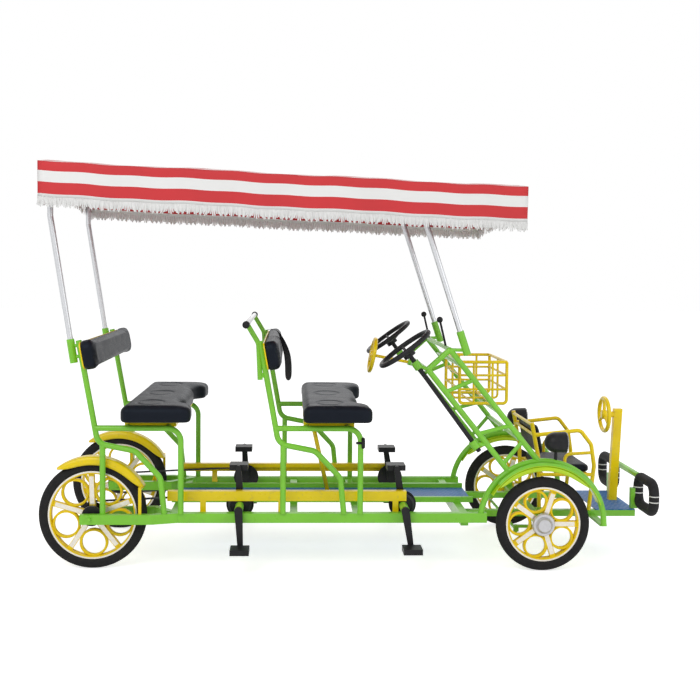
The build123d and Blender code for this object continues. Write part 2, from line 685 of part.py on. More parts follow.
def curved_sheet(centre_x, centre_z, radius, y_low, y_high, start, end):
    """Adds a sheet bent about an axle, between two angles from forward, to the part in progress."""
    with BuildSketch(Plane.XZ.offset(-y_high)) as strip:
        with BuildLine():
            spans = []
            for r in (radius, radius - GUARD_THICK):
                points = [(centre_x + r * cos(radians(a)), centre_z + r * sin(radians(a)))
                          for a in (start, (start + end) / 2, end)]
                ThreePointArc(*points)
                spans.append(points)
            Line(spans[0][0], spans[1][0])
            Line(spans[0][2], spans[1][2])
        make_face()
    extrude(strip.sketch, amount=y_high - y_low)


with BuildPart() as mudguards:
    for side in SIDES.values():
        y_low, y_high = sorted(side * y for y in MUDGUARD_Y)
        curved_sheet(FRONT_AXLE_X, FRONT_WHEEL_R, ARCH_R - ARCH_D / 2 + 2, y_low, y_high, 20, 150)
    cope(arches.part)
keep(mudguards.part, "front_mudguards")

with BuildPart() as rear_guards:
    for side in SIDES.values():
        y_low, y_high = sorted(side * y for y in (REAR_WHEEL_Y - 30, REAR_WHEEL_Y + 30))
        curved_sheet(REAR_AXLE_X, REAR_WHEEL_R, REAR_WHEEL_R + 19, y_low, y_high, 30, 125)
        tab_low, tab_high = sorted((side * (REAR_WHEEL_Y + 29), side * SEAT_FRAME_Y))
        bar((ROW_X["rear"] - 11, tab_low, 516), (ROW_X["rear"] + 11, tab_high, 521))
        foot_low, foot_high = sorted((side * (REAR_WHEEL_Y + 25), side * OUTER_STAY_Y))
        bar((-992, foot_low, 384), (-978, foot_high, 396))
        strip_low, strip_high = sorted((side * (OUTER_STAY_Y - 5), side * OUTER_STAY_Y))
        bar((-992, strip_low, RAIL_TOP), (-978, strip_high, 396))
    cope(seat_frames["rear"])
keep(rear_guards.part, "rear_mudguards")

# Headlamps: bullet shells on short stems on the arches, with a lens in front
LAMP_X, LAMP_Z, LAMP_R = 966, 606, 50
with BuildPart() as lamps:
    for side in SIDES.values():
        with BuildSketch(Plane.XZ.offset(-side * RAIL_Y)):
            with BuildLine():
                Polyline((LAMP_X - 55, LAMP_Z), (LAMP_X + 45, LAMP_Z), (LAMP_X + 45, LAMP_Z + LAMP_R),
                         (LAMP_X, LAMP_Z + LAMP_R - 2))
                ThreePointArc((LAMP_X, LAMP_Z + LAMP_R - 2), (LAMP_X - 39, LAMP_Z + 34), (LAMP_X - 55, LAMP_Z))
            make_face()
        revolve(axis=Axis((LAMP_X, side * RAIL_Y, LAMP_Z), (1, 0, 0)))
        tube([(LAMP_X, side * RAIL_Y, LAMP_Z - 40), (LAMP_X, side * RAIL_Y, LAMP_Z - 90)], diameter=16)
    cope(arches.part)
keep(lamps.part, "headlamps")
with BuildPart() as lenses:
    for side in SIDES.values():
        with Locations(Plane(origin=(LAMP_X + 45, side * RAIL_Y, LAMP_Z), z_dir=(1, 0, 0))):
            Cylinder(LAMP_R - 4, 6, align=(Align.CENTER, Align.CENTER, Align.MIN))
keep(lenses.part, "headlamp_lenses")

# Knuckles: kingpin barrel, stub axle and a steering arm that ends in the tie rod's pin
ARM_Z = (186, 198)
ROD_Z = 176
ROD_D = 14
EYE_HEIGHT = 16
PIN_R = 6
EYE_R = 13
for side_name, side in SIDES.items():
    y = side * KINGPIN_Y
    arm_x = FRONT_AXLE_X - ARM_LENGTH
    with BuildPart() as knuckle:
        with Locations((FRONT_AXLE_X, y, FRONT_WHEEL_R)):
            Cylinder(16, LUG_Z[1][0] - LUG_Z[0][1] - 2)
            Cylinder(KINGPIN_R, LUG_Z[1][1] - LUG_Z[0][0] + 8)
        with BuildSketch(sideways(FRONT_AXLE_X, y, FRONT_WHEEL_R, side)):
            Circle(AXLE_R)
        extrude(amount=FRONT_WHEEL_Y + TYRE_WIDTH / 2 - 5 - KINGPIN_Y)
        with BuildSketch(sideways(FRONT_AXLE_X, y, FRONT_WHEEL_R, side)):
            Circle(14)
        extrude(amount=FRONT_WHEEL_Y - TYRE_WIDTH / 2 - 5 - KINGPIN_Y)
        bar((arm_x, y - 8, ARM_Z[0]), (FRONT_AXLE_X, y + 8, ARM_Z[1]))
        with Locations((arm_x, y, (ARM_Z[1] + ROD_Z - 12) / 2)):
            Cylinder(PIN_R, ARM_Z[1] - ROD_Z + 12)
        with Locations((arm_x, y, (ARM_Z[0] + ARM_Z[1]) / 2)):
            Cylinder(EYE_R, ARM_Z[1] - ARM_Z[0])
    keep(knuckle.part, f"knuckle_{side_name}")

# Tie rod between the two steering arms
with BuildPart() as tie_rod:
    rod_x = FRONT_AXLE_X - ARM_LENGTH
    tube([(rod_x, -KINGPIN_Y, ROD_Z), (rod_x, KINGPIN_Y, ROD_Z)], diameter=ROD_D)
    with Locations((rod_x, KINGPIN_Y, ROD_Z), (rod_x, -KINGPIN_Y, ROD_Z)):
        Cylinder(EYE_R, EYE_HEIGHT)
    with Locations((rod_x, KINGPIN_Y, ROD_Z), (rod_x, -KINGPIN_Y, ROD_Z)):
        Cylinder(PIN_R + RUN_CLEAR, 2 * EYE_HEIGHT, mode=Mode.SUBTRACT)
keep(tie_rod.part, "tie_rod")

# Crank sets: spindle, chain rings, an arm each side and two pedals; the outer arm rests downwards
for row, crank_x, tilt in zip(("rear", "front"), CRANK_X, CRANK_TILT):
    for side_name, side in SIDES.items():
        centre = Vector(crank_x, 0, CRANK_Z)
        reach = Vector(sin(radians(tilt)), 0, -cos(radians(tilt))) * CRANK_LENGTH
        with BuildPart() as crank:
            with BuildSketch(sideways(crank_x, side * (INNER_ARM_Y - CRANK_THICK / 2), CRANK_Z, side)):
                Circle(SPINDLE_R)
            extrude(amount=OUTER_ARM_Y - INNER_ARM_Y + CRANK_THICK)
            rings = [("front", RING_R)] + ([("rear", RING_R)] if row == "rear" else [])
            for plane_name, ring_r in rings:
                with BuildSketch(sideways(crank_x, side * (CHAIN_Y[plane_name] - RING_THICK / 2), CRANK_Z, side)):
                    Circle(ring_r)
                extrude(amount=RING_THICK)
            with BuildSketch(sideways(crank_x, side * DISC_Y, CRANK_Z, side)):
                Circle(DISC_R)
            extrude(amount=2)
            for arm_y, sign, out in ((OUTER_ARM_Y, 1, 1), (INNER_ARM_Y, -1, -1)):
                tip = centre + reach * sign
                with BuildSketch(Plane.XZ.offset(-side * arm_y)) as arm:
                    with Locations((crank_x, CRANK_Z)):
                        Circle(CRANK_BOSS_R)
                    with Locations((tip.X, tip.Z)):
                        Circle(13)
                    make_hull()
                extrude(amount=CRANK_THICK / 2, both=True)
                pedal_y = arm_y + out * (CRANK_THICK / 2 + 6 + PEDAL[1] / 2)
                tube([(tip.X, side * arm_y, tip.Z), (tip.X, side * pedal_y, tip.Z)], diameter=12)
                with Locations((tip.X, side * pedal_y, tip.Z)):
                    Box(*PEDAL)
        keep(crank.part, f"crank_{row}_{side_name}")

# Chains: fixed loops round the rings of both cranks, and from the rear crank to the rear hub
CHAIN_RUNS = (("front", (CRANK_X[0], CRANK_Z, RING_R), (CRANK_X[1], CRANK_Z, RING_R)),
              ("rear", (REAR_AXLE_X, REAR_WHEEL_R, SPROCKET_R), (CRANK_X[0], CRANK_Z, RING_R)))
with BuildPart() as chains:
    for side in SIDES.values():
        for plane_name, *wheels in CHAIN_RUNS:
            for extra, mode in ((CHAIN_GAP + CHAIN_HEIGHT, Mode.ADD), (CHAIN_GAP, Mode.SUBTRACT)):
                with BuildSketch(Plane.XZ.offset(-side * CHAIN_Y[plane_name])):
                    for x, z, ring_r in wheels:
                        with Locations((x, z)):
                            Circle(ring_r + extra)
                    make_hull()
                extrude(amount=CHAIN_WIDTH / 2, both=True, mode=mode)
keep(chains.part, "chains")

# Chain guards: folded yellow sheet over each side's chains, with tabs to the rail
GUARD_X = (-869, 267)
GUARD_Y = (326, 362)
GUARD_TOP = 360
GUARD_TABS = (-700, -330, 215)
with BuildPart() as guards:
    for side in SIDES.values():
        inner_y, outer_y = (side * y for y in GUARD_Y)
        low, high = sorted((inner_y, outer_y))
        bar((GUARD_X[0], low, GUARD_TOP - 2), (GUARD_X[1], high, GUARD_TOP))
        low, high = sorted((outer_y - side * 2, outer_y))
        bar((GUARD_X[0], low, 313), (GUARD_X[1], high, GUARD_TOP))
        low, high = sorted((inner_y, inner_y + side * 2))
        bar((GUARD_X[0], low, 340), (GUARD_X[1], high, GUARD_TOP))
        for x in GUARD_TABS:
            low, high = sorted((outer_y - side * 2, outer_y))
            bar((x - 14, low, 255), (x + 14, high, 320))
            low, high = sorted((outer_y - side * 2, side * (RAIL_Y - RAIL_WIDTH / 2)))
            bar((x - 14, low, 255), (x + 14, high, 259))
keep(guards.part, "chain_guards")

# Child seat: bent side tubes with arms, standing on the keels, and two pads
CHILD_Y = 212
CHILD_D = 20
CHILD_RAIL_D = 18
CHILD_CROSS_D = 15
KEEL_TOP = KEEL_Z + KEEL_HEIGHT / 2
CHILD_SEAT_Z = 411
with BuildPart() as child_frame:
    for side in SIDES.values():
        y = side * CHILD_Y
        tube([(900, y, 668), (935, y, 490), (942, y, KEEL_TOP)], bend=60, diameter=CHILD_D)
        tube([(912, y, 606), (1141, y, 631), (1196, y, 560), (1212, y, 455), (1188, y, KEEL_TOP)],
             bend=34, diameter=CHILD_D)
        tube([(938, y, CHILD_SEAT_Z), (1205, y, CHILD_SEAT_Z)], diameter=CHILD_RAIL_D)
        tube([(1066, y, CHILD_SEAT_Z), (1066, y, 512), (1203, y, 520)], bend=30, diameter=16)
    for x, z in ((902, 656), (912, 606), (960, CHILD_SEAT_Z), (1180, CHILD_SEAT_Z)):
        tube([(x, -CHILD_Y, z), (x, CHILD_Y, z)], diameter=CHILD_CROSS_D)
    cope(front_frame.part)
keep(child_frame.part, "child_seat_frame")
with BuildPart() as child_pads:
    with BuildSketch(Plane.XY.offset(CHILD_SEAT_Z + CHILD_CROSS_D / 2 + 0.3)):
        with Locations((1078, 0)):
            RectangleRounded(250, 392, 40)
    extrude(amount=38)
    back = Plane(origin=(940, 0, 492), x_dir=(0, 1, 0), z_dir=(cos(radians(11)), 0, sin(radians(11))))
    with BuildSketch(back):
        with Locations((0, 82)):
            RectangleRounded(388, 164, 40)
    extrude(amount=32)
    cope(child_frame.part)
keep(child_pads.part, "child_seat_pads")

# Front platform with the child's post
PLATE_TOP = KEEL_TOP + PLATFORM_THICK
with BuildPart() as platform:
    bar((PLATFORM_X[0] + 16, -PLATFORM_HALF_WIDTH, KEEL_TOP), (PLATFORM_X[1], PLATFORM_HALF_WIDTH, PLATE_TOP))
keep(platform.part, "platform")
POST_BASE_X, POST_LEAN_X, CHILD_POST_TOP = (1350, 1392), 22, 710
with BuildPart() as child_post:
    with BuildSketch(Plane.XZ):
        with BuildLine():
            Polyline((POST_BASE_X[0], PLATE_TOP), (POST_BASE_X[1], PLATE_TOP),
                     (POST_BASE_X[1] + POST_LEAN_X, CHILD_POST_TOP),
                     (POST_BASE_X[0] + POST_LEAN_X, CHILD_POST_TOP), close=True)
        make_face()
    extrude(amount=15, both=True)
    tube([(1348, 0, CHILD_CENTRE[2]), (1390, 0, CHILD_CENTRE[2])], diameter=30)
    with Locations(Plane(origin=(1340, 0, CHILD_CENTRE[2]), z_dir=(1, 0, 0))):
        Cylinder(MIDDLE_SHAFT_D / 2 + RUN_CLEAR, 100, mode=Mode.SUBTRACT)
keep(child_post.part, "child_post")

# Bumper: a padded loop each side, on uprights from the keels, and a crossbar between
with BuildPart() as bumper:
    for side in SIDES.values():
        y_low, y_high = sorted(side * y for y in BUMPER_Y)
        z_low, z_high = BUMPER_Z
        with BuildSketch(Plane(origin=(BUMPER_X, 0, 0), x_dir=(0, 1, 0), z_dir=(1, 0, 0))) as outline:
            with Locations(((y_low + y_high) / 2, (z_low + z_high) / 2)):
                RectangleRounded(y_high - y_low, z_high - z_low, 50)
        loop = outline.sketch.faces()[0].outer_wire()
        with BuildSketch(Plane(origin=loop @ 0, z_dir=loop % 0)) as section:
            Circle(BUMPER_D / 2)
        sweep(section.sketch, path=loop)
keep(bumper.part, "bumper")
with BuildPart() as bumper_bar:
    tube([(BUMPER_X, -BUMPER_Y[0], BUMPER_Z[1]), (BUMPER_X, BUMPER_Y[0], BUMPER_Z[1])], diameter=30)
    for side in SIDES.values():
        low, high = sorted((side * (BUMPER_Y[0] - 14), side * (BUMPER_Y[0] + 14)))
        bar((PLATFORM_X[1] - 14, low, PLATE_TOP), (BUMPER_X - 8, high, 340))
    cope(bumper.part)
keep(bumper_bar.part, "bumper_bar")
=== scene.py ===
"""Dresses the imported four-seat pedal quadricycle: paint, cloth canopy, cushions and small trim.

Metres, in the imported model's own frame: +X forward, +Y the vehicle's left, +Z up.
"""
import json
import math

import bpy
import numpy as np
from bpy.props import FloatProperty, FloatVectorProperty, IntProperty, PointerProperty
from mathutils import Matrix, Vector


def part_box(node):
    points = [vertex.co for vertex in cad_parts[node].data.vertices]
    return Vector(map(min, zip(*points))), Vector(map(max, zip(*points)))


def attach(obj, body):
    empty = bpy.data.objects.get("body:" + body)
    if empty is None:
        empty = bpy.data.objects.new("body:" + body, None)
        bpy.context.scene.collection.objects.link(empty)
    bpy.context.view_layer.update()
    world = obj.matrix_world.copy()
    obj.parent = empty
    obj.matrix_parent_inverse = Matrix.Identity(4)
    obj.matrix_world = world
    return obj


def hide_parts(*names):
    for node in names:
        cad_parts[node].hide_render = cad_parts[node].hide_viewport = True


bl_info = {
    "name": "Pedal quadricycle dressing",
    "version": (1, 0, 0),
    "blender": (4, 5, 0),
    "location": "View3D > Sidebar > Quadricycle",
    "description": "Paints the quadricycle's frame and adds its canopy, cushions and trim",
    "category": "Object",
}

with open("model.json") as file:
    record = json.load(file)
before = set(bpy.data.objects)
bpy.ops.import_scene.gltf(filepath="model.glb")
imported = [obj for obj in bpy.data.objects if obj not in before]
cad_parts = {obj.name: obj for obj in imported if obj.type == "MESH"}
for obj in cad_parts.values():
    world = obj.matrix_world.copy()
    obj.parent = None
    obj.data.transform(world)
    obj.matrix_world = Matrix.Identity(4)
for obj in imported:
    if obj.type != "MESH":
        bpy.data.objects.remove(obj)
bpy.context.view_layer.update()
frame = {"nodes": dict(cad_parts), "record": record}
NODES = frame["nodes"]
CHASSIS = "chassis"
SIDES = {"left": 1, "right": -1}
UP = np.array((0, 0, 1.0))

# Wheels: axles as (x, z), tyre, rim and spokes, then the collars in the spaces between two spokes.
AXLES = {"rear": (-1.215, 0.254), "front": (0.905, 0.222)}
WHEEL_Y = {"rear": 0.375, "front": 0.430}
TYRE_HEIGHT = 0.046
TREAD_DEPTH = 0.011
RIM_DEPTH = 0.014
RIM_LINE = 0.0075
RIM_FACE = 0.0165
SPOKES = 5
SPOKE_START = {"rear": 92, "front": 0}
SPOKE_FROM = 0.05
SPOKE_SHORT = 0.012
SPOKE_HALF = 0.0105
SPOKE_FACE = 0.0118
RING_AT = 0.68
RING_HOLE = 0.285
RING_WIDE = 0.022
RING_THICK = 0.011

# Mudguards: crown and lip radius about the axle, middle and half width, first and last angle in degrees.
GUARDS = {"rear": (0.279, 0.240, 0.375, 0.038, 29, 126), "front": (0.2795, 0.256, 0.432, 0.040, 40, 140)}
GUARD_GRID = (60, 21)
GUARD_THICK = 0.0018

# Canopy: rear edge, fall, length and half width, its bows as shares of the length, the cloth and the fringe.
CANOPY_REAR_X = -1.414
CANOPY_REAR_Z = 1.888
CANOPY_DROP_DEG = 2.5
CANOPY_LENGTH = 2.191
CANOPY_HALF = 0.595
CANOPY_GRID = (90, 41)
BOW_SHARES = np.array((0.02, 0.34, 0.66, 0.98))
VALANCE_ROWS = 9
CREASE_PITCH = 0.74
CREASE_WIDE = 0.012
CREASE_DEPTH = 0.002
CLOTH_THICK = 0.0018
YARN_ROWS = 4
HEM_END = 0.002

# Pads: the cloth run, then the benches, the backrests and the child's two pads. EDGES are the radii of the
# lower and upper edge, and FACE is the distance of a leaning pad's back and front from its posts.
PAD_PRESSURE = 4.0
PAD_VOXEL = 0.006
CLOTH_QUALITY = 4
CLOTH_STEPS = 20
SWELL_SHARE = 0.7
ROW_X = {"rear": -1.159, "front": -0.321}
BENCH_BACK = 0.083
BENCH_FRONT = 0.414
BENCH_HALF = 0.533
BENCH_Z = (0.708, 0.785)
BENCH_EDGES = (0.014, 0.024)
CORNER_R = 0.038
NOTCH_R = 0.150
NOTCH_DEPTH = 0.062
NOTCH_Y = 0.262
MIDDLE_SETBACK = 0.042
OVAL_X = 0.215
OVAL_Y = (-0.38, 0.0, 0.38)
OVAL_HALF = (0.06, 0.08)
BACK_POST_X = -0.08315
BACK_LOW_Z = 0.936
BACK_TILT = 10.3
BACK_TALL = 0.150
BACK_FACE = (0.0188, 0.0788)
BACK_EDGES = (0.008, 0.02)
BACK_CORNER_R = 0.045
BACK_EASE = 0.004
CHILD_SEAT = (0.250, 0.384)
CHILD_SEAT_X = 1.078
CHILD_SEAT_Z = (0.4188, 0.4508)
CHILD_SEAT_EDGES = (0.008, 0.014)
CHILD_BACK = (0.380, 0.156)
CHILD_BACK_LEAN = (0.940, 0.492, 11.0)
CHILD_BACK_FACE = (0.009, 0.028)
CHILD_BACK_EDGES = (0.008, 0.012)
CHILD_CORNER_R = 0.04
CHILD_VOXEL = 0.005
CHILD_SWELL = 0.005

# Basket rods by radius, and the two small hand wheels; SMALL_HUB is radius, length and bulge.
BASKET_ROD = 0.0080
BASKET_WIRE = 0.0058
BASKET_CORNER = 0.045
SMALL_CENTRE = {"middle": (0.127, 0.0, 0.981), "child": (1.324, 0.0, 0.680)}
SMALL_RIM_R = {"middle": 0.082, "child": 0.084}
SMALL_RIM_TUBE = 0.0105
SMALL_SPOKE_TUBE = 0.0085
SMALL_SPOKE_DEG = (90, 210, 330)
SMALL_HUB = (0.021, 0.026, 0.004)

# Small trim: grips, knob and stem are radius, length and bulge.
GRIP = (0.0135, 0.078, 0.004)
GRIP_INSET = 0.034
STRAP_Y = (0.184, 0.406)
STRAP_Z = (0.318, 0.346)
STRAP_R = 0.0244
STRAP_WIDE = 0.005
STRAP_THICK = 0.0008
BELT_ROUTE = np.array(((-0.424, 0, 1.060), (-0.421, 0, 1.098), (-0.398, 0, 1.112), (-0.362, 0, 1.108),
                       (-0.341, 0.002, 1.078), (-0.322, 0.006, 1.030), (-0.304, 0.010, 0.975),
                       (-0.300, 0.011, 0.910), (-0.301, 0.010, 0.842)))
BELT_TURN_DEG = (0, 0, 0, 5, 25, 60, 82, 84, 80)
BELT_HALF = 0.019
BELT_THICK = 0.002
KNOB = (0.022, 0.016, 0.005)
KNOB_AT = (0.052, -0.450, 0.606)
KNOB_STEM = (0.006, 0.030, 0.0)
KNOB_STEM_AT = (0.034, -0.450, 0.606)
STRUT_FOOT_X = -0.0935
STRUT_HEAD_X = -0.193
STRUT_R = 0.011
STRUT_PAD_R = 0.024
STRUT_PAD_THICK = 0.004

# Stage: lamps by name, place, size and share of the main lamp's power, then the floor and the camera.
LAMPS = (("key_lamp", (-2.6, -4.6, 4.4), 3.2, 1.0), ("fill_lamp", (4.2, -3.4, 2.6), 3.0, 0.4),
         ("back_lamp", (0.5, 4.6, 4.2), 3.5, 0.5))
LAMP_AIM = (0.0, 0.0, 0.9)
FLOOR_HALF = 30.0
SENSOR_WIDTH = 36.0
PHOTO_SIDE = 700


class Wire:
    """A shader socket that takes part in Python arithmetic: each operator adds one Math node."""

    def __init__(self, tree, socket):
        self.tree = tree
        self.socket = socket

    def math(self, operation, *values):
        """A Math node on this socket and up to two further values or sockets."""
        node = self.tree.nodes.new("ShaderNodeMath")
        node.operation = operation
        for slot, value in zip(node.inputs, (self, *values)):
            if isinstance(value, Wire):
                self.tree.links.new(value.socket, slot)
            else:
                slot.default_value = value
        return Wire(self.tree, node.outputs[0])

    def __add__(self, other):
        return self.math("ADD", other)

    __radd__ = __add__

    def __sub__(self, other):
        return self.math("SUBTRACT", other)

    def __rsub__(self, other):
        return (self * -1.0) + other

    def __mul__(self, other):
        return self.math("MULTIPLY", other)

    __rmul__ = __mul__

    def __gt__(self, other):
        return self.math("GREATER_THAN", other)

    def __lt__(self, other):
        return self.math("LESS_THAN", other)

    def __abs__(self):
        return self.math("ABSOLUTE")


class Finish:
    """A material in the making: one Principled shader whose plain values are set first."""

    def __init__(self, name, **plain):
        self.material = bpy.data.materials.new(name)
        self.material.use_nodes = True
        self.tree = self.material.node_tree
        self.shader = self.tree.nodes["Principled BSDF"]
        for socket, value in plain.items():
            self.shader.inputs[socket.replace("_", " ")].default_value = value

    def node(self, kind, settings=(), inputs=(), out=0):
        """Adds a node by type, sets its settings, then feeds its sockets; returns one output."""
        node = self.tree.nodes.new("ShaderNode" + kind)
        for name, value in dict(settings).items():
            setattr(node, name, value)
        for key, value in dict(inputs).items():
            self.feed(node.inputs[key], value)
        return Wire(self.tree, node.outputs[out])

    def feed(self, socket, value):
        """Links a wire to a socket, or sets the socket's own value."""
        if isinstance(value, Wire):
            self.tree.links.new(value.socket, socket)
        else:
            socket.default_value = value

    def place(self, which="Object"):
        """The point on the piece, in metres, or its own UV map."""
        return self.node("TexCoord", out=which)

    def axes(self, vector=None):
        """The three parts of a vector, as wires."""
        source = vector or self.place()
        split = self.tree.nodes.new("ShaderNodeSeparateXYZ")
        self.tree.links.new(source.socket, split.inputs[0])
        return [Wire(self.tree, output) for output in split.outputs]

    def noise(self, scale, detail=3.0):
        """Smooth noise from 0 to 1 at a scale in cycles a metre."""
        return self.node("TexNoise", inputs={"Vector": self.place(), "Scale": scale, "Detail": detail})

    def mix(self, factor, first, second):
        """A colour between two colours."""
        return self.node("Mix", {"data_type": "RGBA"}, {0: factor, 6: first, 7: second}, out=2)

    def set(self, **sockets):
        """Feeds the Principled shader's sockets."""
        for name, value in sockets.items():
            self.feed(self.shader.inputs[name.replace("_", " ")], value)

    def relief(self, height, strength, distance):
        """Bumps the surface by a height wire."""
        bump = {"Height": height, "Strength": strength, "Distance": distance}
        self.set(Normal=self.node("Bump", inputs=bump))


def rgba(colour, share=1.0):
    """A colour with full cover, brightened or darkened by a share."""
    return (*[min(1.0, part * share) for part in colour], 1.0)


def gloss_paint(name, colour, wear=0.5):
    """Sprayed gloss paint: slow tone drift, dusty patches and a fine orange-peel relief."""
    paint = Finish(name, Roughness=0.3, Coat_Weight=0.15, Coat_Roughness=0.1, Specular_IOR_Level=0.3)
    drift = paint.noise(5.0)
    dust = paint.noise(38.0, 5.0)
    tone = paint.mix(drift, rgba(colour, 0.82), rgba(colour, 1.15))
    grime = (dust > 0.62) * 0.16 * wear
    paint.set(Base_Color=paint.mix(grime, tone, rgba((0.2, 0.19, 0.14))), Roughness=dust * 0.16 + 0.22)
    paint.relief(paint.noise(520.0), 0.05, 0.001)
    return paint.material


def wheel_finish(end, side, colour):
    """A cast wheel: painted casting, machined pale spoke faces and a bare line round the rim."""
    x0, z0 = AXLES[end]
    rim = z0 - TYRE_HEIGHT
    cast = Finish(f"cast_wheel_{end}_{side}", Roughness=0.35, Specular_IOR_Level=0.3)
    x, y, z = cast.axes()
    across, up = x - x0, (z - z0) * (-1.0 if side == "left" else 1.0)
    distance = (across * across + up * up).math("SQRT")
    turn = up.math("ARCTAN2", across) - math.radians(SPOKE_START[end])
    half = math.pi / SPOKES
    fold = turn.math("WRAP", half, -half).math("SINE") * distance
    proud = abs(abs(y) - WHEEL_Y[end])
    reach = (distance > SPOKE_FROM) * (distance < rim - RIM_DEPTH - SPOKE_SHORT)
    spoke = (abs(fold) < SPOKE_HALF) * reach * (proud > SPOKE_FACE)
    line = (distance > rim - RIM_LINE) * (proud > RIM_FACE)
    bare = spoke.math("MAXIMUM", line)
    brushed = cast.noise(120.0, 2.0)
    tone = cast.mix(cast.noise(9.0), rgba(colour, 0.78), rgba(colour, 1.08))
    metal = cast.mix(brushed, rgba((0.62, 0.58, 0.5)), rgba((0.86, 0.82, 0.74)))
    cast.set(Base_Color=cast.mix(bare, tone, metal), Metallic=bare * 0.55, Roughness=0.38 - bare * 0.08)
    cast.relief(cast.noise(260.0), 0.08, 0.001)
    return cast.material


def tyre_finish(end):
    """Black rubber with blocks round the tread, rings on the sidewall and a little dust."""
    x0, z0 = AXLES[end]
    tyre = Finish(f"tyre_rubber_{end}", Roughness=0.78, Specular_IOR_Level=0.1)
    x, y, z = tyre.axes()
    across, up = x - x0, z - z0
    distance = (across * across + up * up).math("SQRT")
    turn = up.math("ARCTAN2", across)
    sway = (abs(y) - WHEEL_Y[end]) * 90.0
    blocks = (turn * 84.0 + abs(sway) * 2.0).math("SINE") > 0.1
    tread = distance > z0 - TREAD_DEPTH
    rings = (distance * 1400.0).math("SINE") * 0.5 + 0.5
    dust = tyre.noise(30.0, 5.0)
    tyre.set(Base_Color=tyre.mix(dust, rgba((0.012, 0.012, 0.013)), rgba((0.034, 0.033, 0.033))),
             Roughness=dust * 0.2 + 0.66)
    tyre.relief(blocks * tread + rings * (1.0 - tread) * 0.25, 0.7, 0.002)
    return tyre.material


def vinyl(name, colour):
    """Black vinyl: leather grain from cells, soft sheen with a painted blue sky reflection, and scuffs."""
    # Painted reflection: the blue specular tint stands in for blue sky seen in the sheen.
    cover = Finish(name, Roughness=0.4, Specular_IOR_Level=0.12, Specular_Tint=(0.55, 0.75, 1.0, 1.0))
    grain = cover.node("TexVoronoi", {"feature": "DISTANCE_TO_EDGE"},
                       {"Vector": cover.place(), "Scale": 420.0}).math("MINIMUM", 0.12)
    scuff = cover.noise(14.0, 4.0)
    cover.set(Base_Color=cover.mix(scuff, rgba(colour, 0.75), rgba(colour, 1.35)),
              Roughness=scuff * 0.2 + 0.32)
    cover.relief(grain * 6.0 + scuff * 0.3, 0.16, 0.0012)
    return cover.material


def canopy_cloth(settings, pitch):
    """Striped awning cloth on the piece's own UV map: U is metres across from the right hem, V along."""
    cloth = Finish("canopy_stripes", Roughness=0.85, Sheen_Weight=0.2)
    u, v, _ = cloth.axes(cloth.place("UV"))
    phase = ((u - settings.hem) * (1.0 / pitch)).math("FRACT")
    red = phase < settings.red_share
    threads = (u * 5200.0).math("SINE") * (v * 5200.0).math("SINE")
    fade = cloth.noise(3.5)
    warm = cloth.mix(fade, rgba(settings.red, 0.86), rgba(settings.red, 1.12))
    pale = cloth.mix(fade, rgba(settings.white, 0.93), rgba(settings.white))
    cloth.set(Base_Color=cloth.mix(red, pale, warm), Roughness=fade * 0.1 + 0.78)
    cloth.relief(threads + cloth.noise(26.0, 4.0) * 1.5, 0.12, 0.001)
    return cloth.material


def fringe_yarn(settings):
    """Off-white cotton yarn, greyer in streaks."""
    yarn = Finish("fringe_yarn", Roughness=0.9, Sheen_Weight=0.3)
    streak = yarn.noise(60.0, 2.0)
    yarn.set(Base_Color=yarn.mix(streak, rgba(settings.white, 0.78), rgba(settings.white)))
    yarn.relief(yarn.noise(700.0), 0.3, 0.001)
    return yarn.material


def metal(name, colour, roughness, streaks=180.0, metallic=0.9):
    """Bare or plated metal: streaked tone and roughness."""
    bare = Finish(name, Metallic=metallic)
    streak = bare.noise(streaks, 2.0)
    spots = bare.noise(22.0, 5.0)
    bare.set(Base_Color=bare.mix(streak, rgba(colour, 0.8), rgba(colour, 1.1)),
             Roughness=spots * 0.2 + roughness)
    bare.relief(streak, 0.05, 0.0006)
    return bare.material


def black_coat(name, roughness=0.42):
    """Black powder coat with a fine pebble and worn lighter spots."""
    coat = Finish(name, Roughness=roughness, Specular_IOR_Level=0.2)
    wear = coat.noise(45.0, 5.0)
    coat.set(Base_Color=coat.mix(wear, rgba((0.006, 0.006, 0.007)), rgba((0.022, 0.022, 0.025))),
             Roughness=wear * 0.2 + roughness - 0.1)
    coat.relief(coat.noise(900.0), 0.2, 0.0006)
    return coat.material


def blue_plate(colour):
    """Blue floor plate with rows of raised slanted dashes; its mottle and pale dash tops are painted
    reflection.
    """
    plate = Finish("blue_tread_plate", Roughness=0.5, Specular_IOR_Level=0.15)
    x, y, _ = plate.axes()
    first = ((x + y) * 210.0).math("SINE") * ((x - y) * 70.0).math("SINE")
    second = ((x - y) * 210.0).math("SINE") * ((x + y) * 70.0).math("SINE")
    raised = (first > 0.45).math("MAXIMUM", second > 0.45)
    drift = plate.noise(6.0, 4.0)
    # Painted reflection: the blue mottles from darker to paler, and the tops of the raised dashes turn pale
    # blue-white.
    tone = plate.mix(drift, rgba(colour, 0.7), rgba(colour, 1.25))
    plate.set(Base_Color=plate.mix(raised * drift * 0.35, tone, rgba((0.55, 0.68, 0.8))),
              Roughness=drift * 0.2 + 0.3)
    plate.relief(raised, 0.35, 0.0012)
    return plate.material


def foam_cover():
    """Black foam sleeve: creases across and a pebbled skin."""
    foam = Finish("bumper_foam", Roughness=0.72, Specular_IOR_Level=0.15)
    crease = foam.noise(55.0, 4.0)
    # Painted shade and highlight: the colour follows the crease relief, darker in its troughs and paler on
    # its ridges.
    foam.set(Base_Color=foam.mix(crease, rgba((0.008, 0.008, 0.009)), rgba((0.035, 0.035, 0.037))),
             Roughness=crease * 0.2 + 0.6)
    foam.relief(crease + foam.noise(420.0) * 0.3, 0.4, 0.003)
    return foam.material


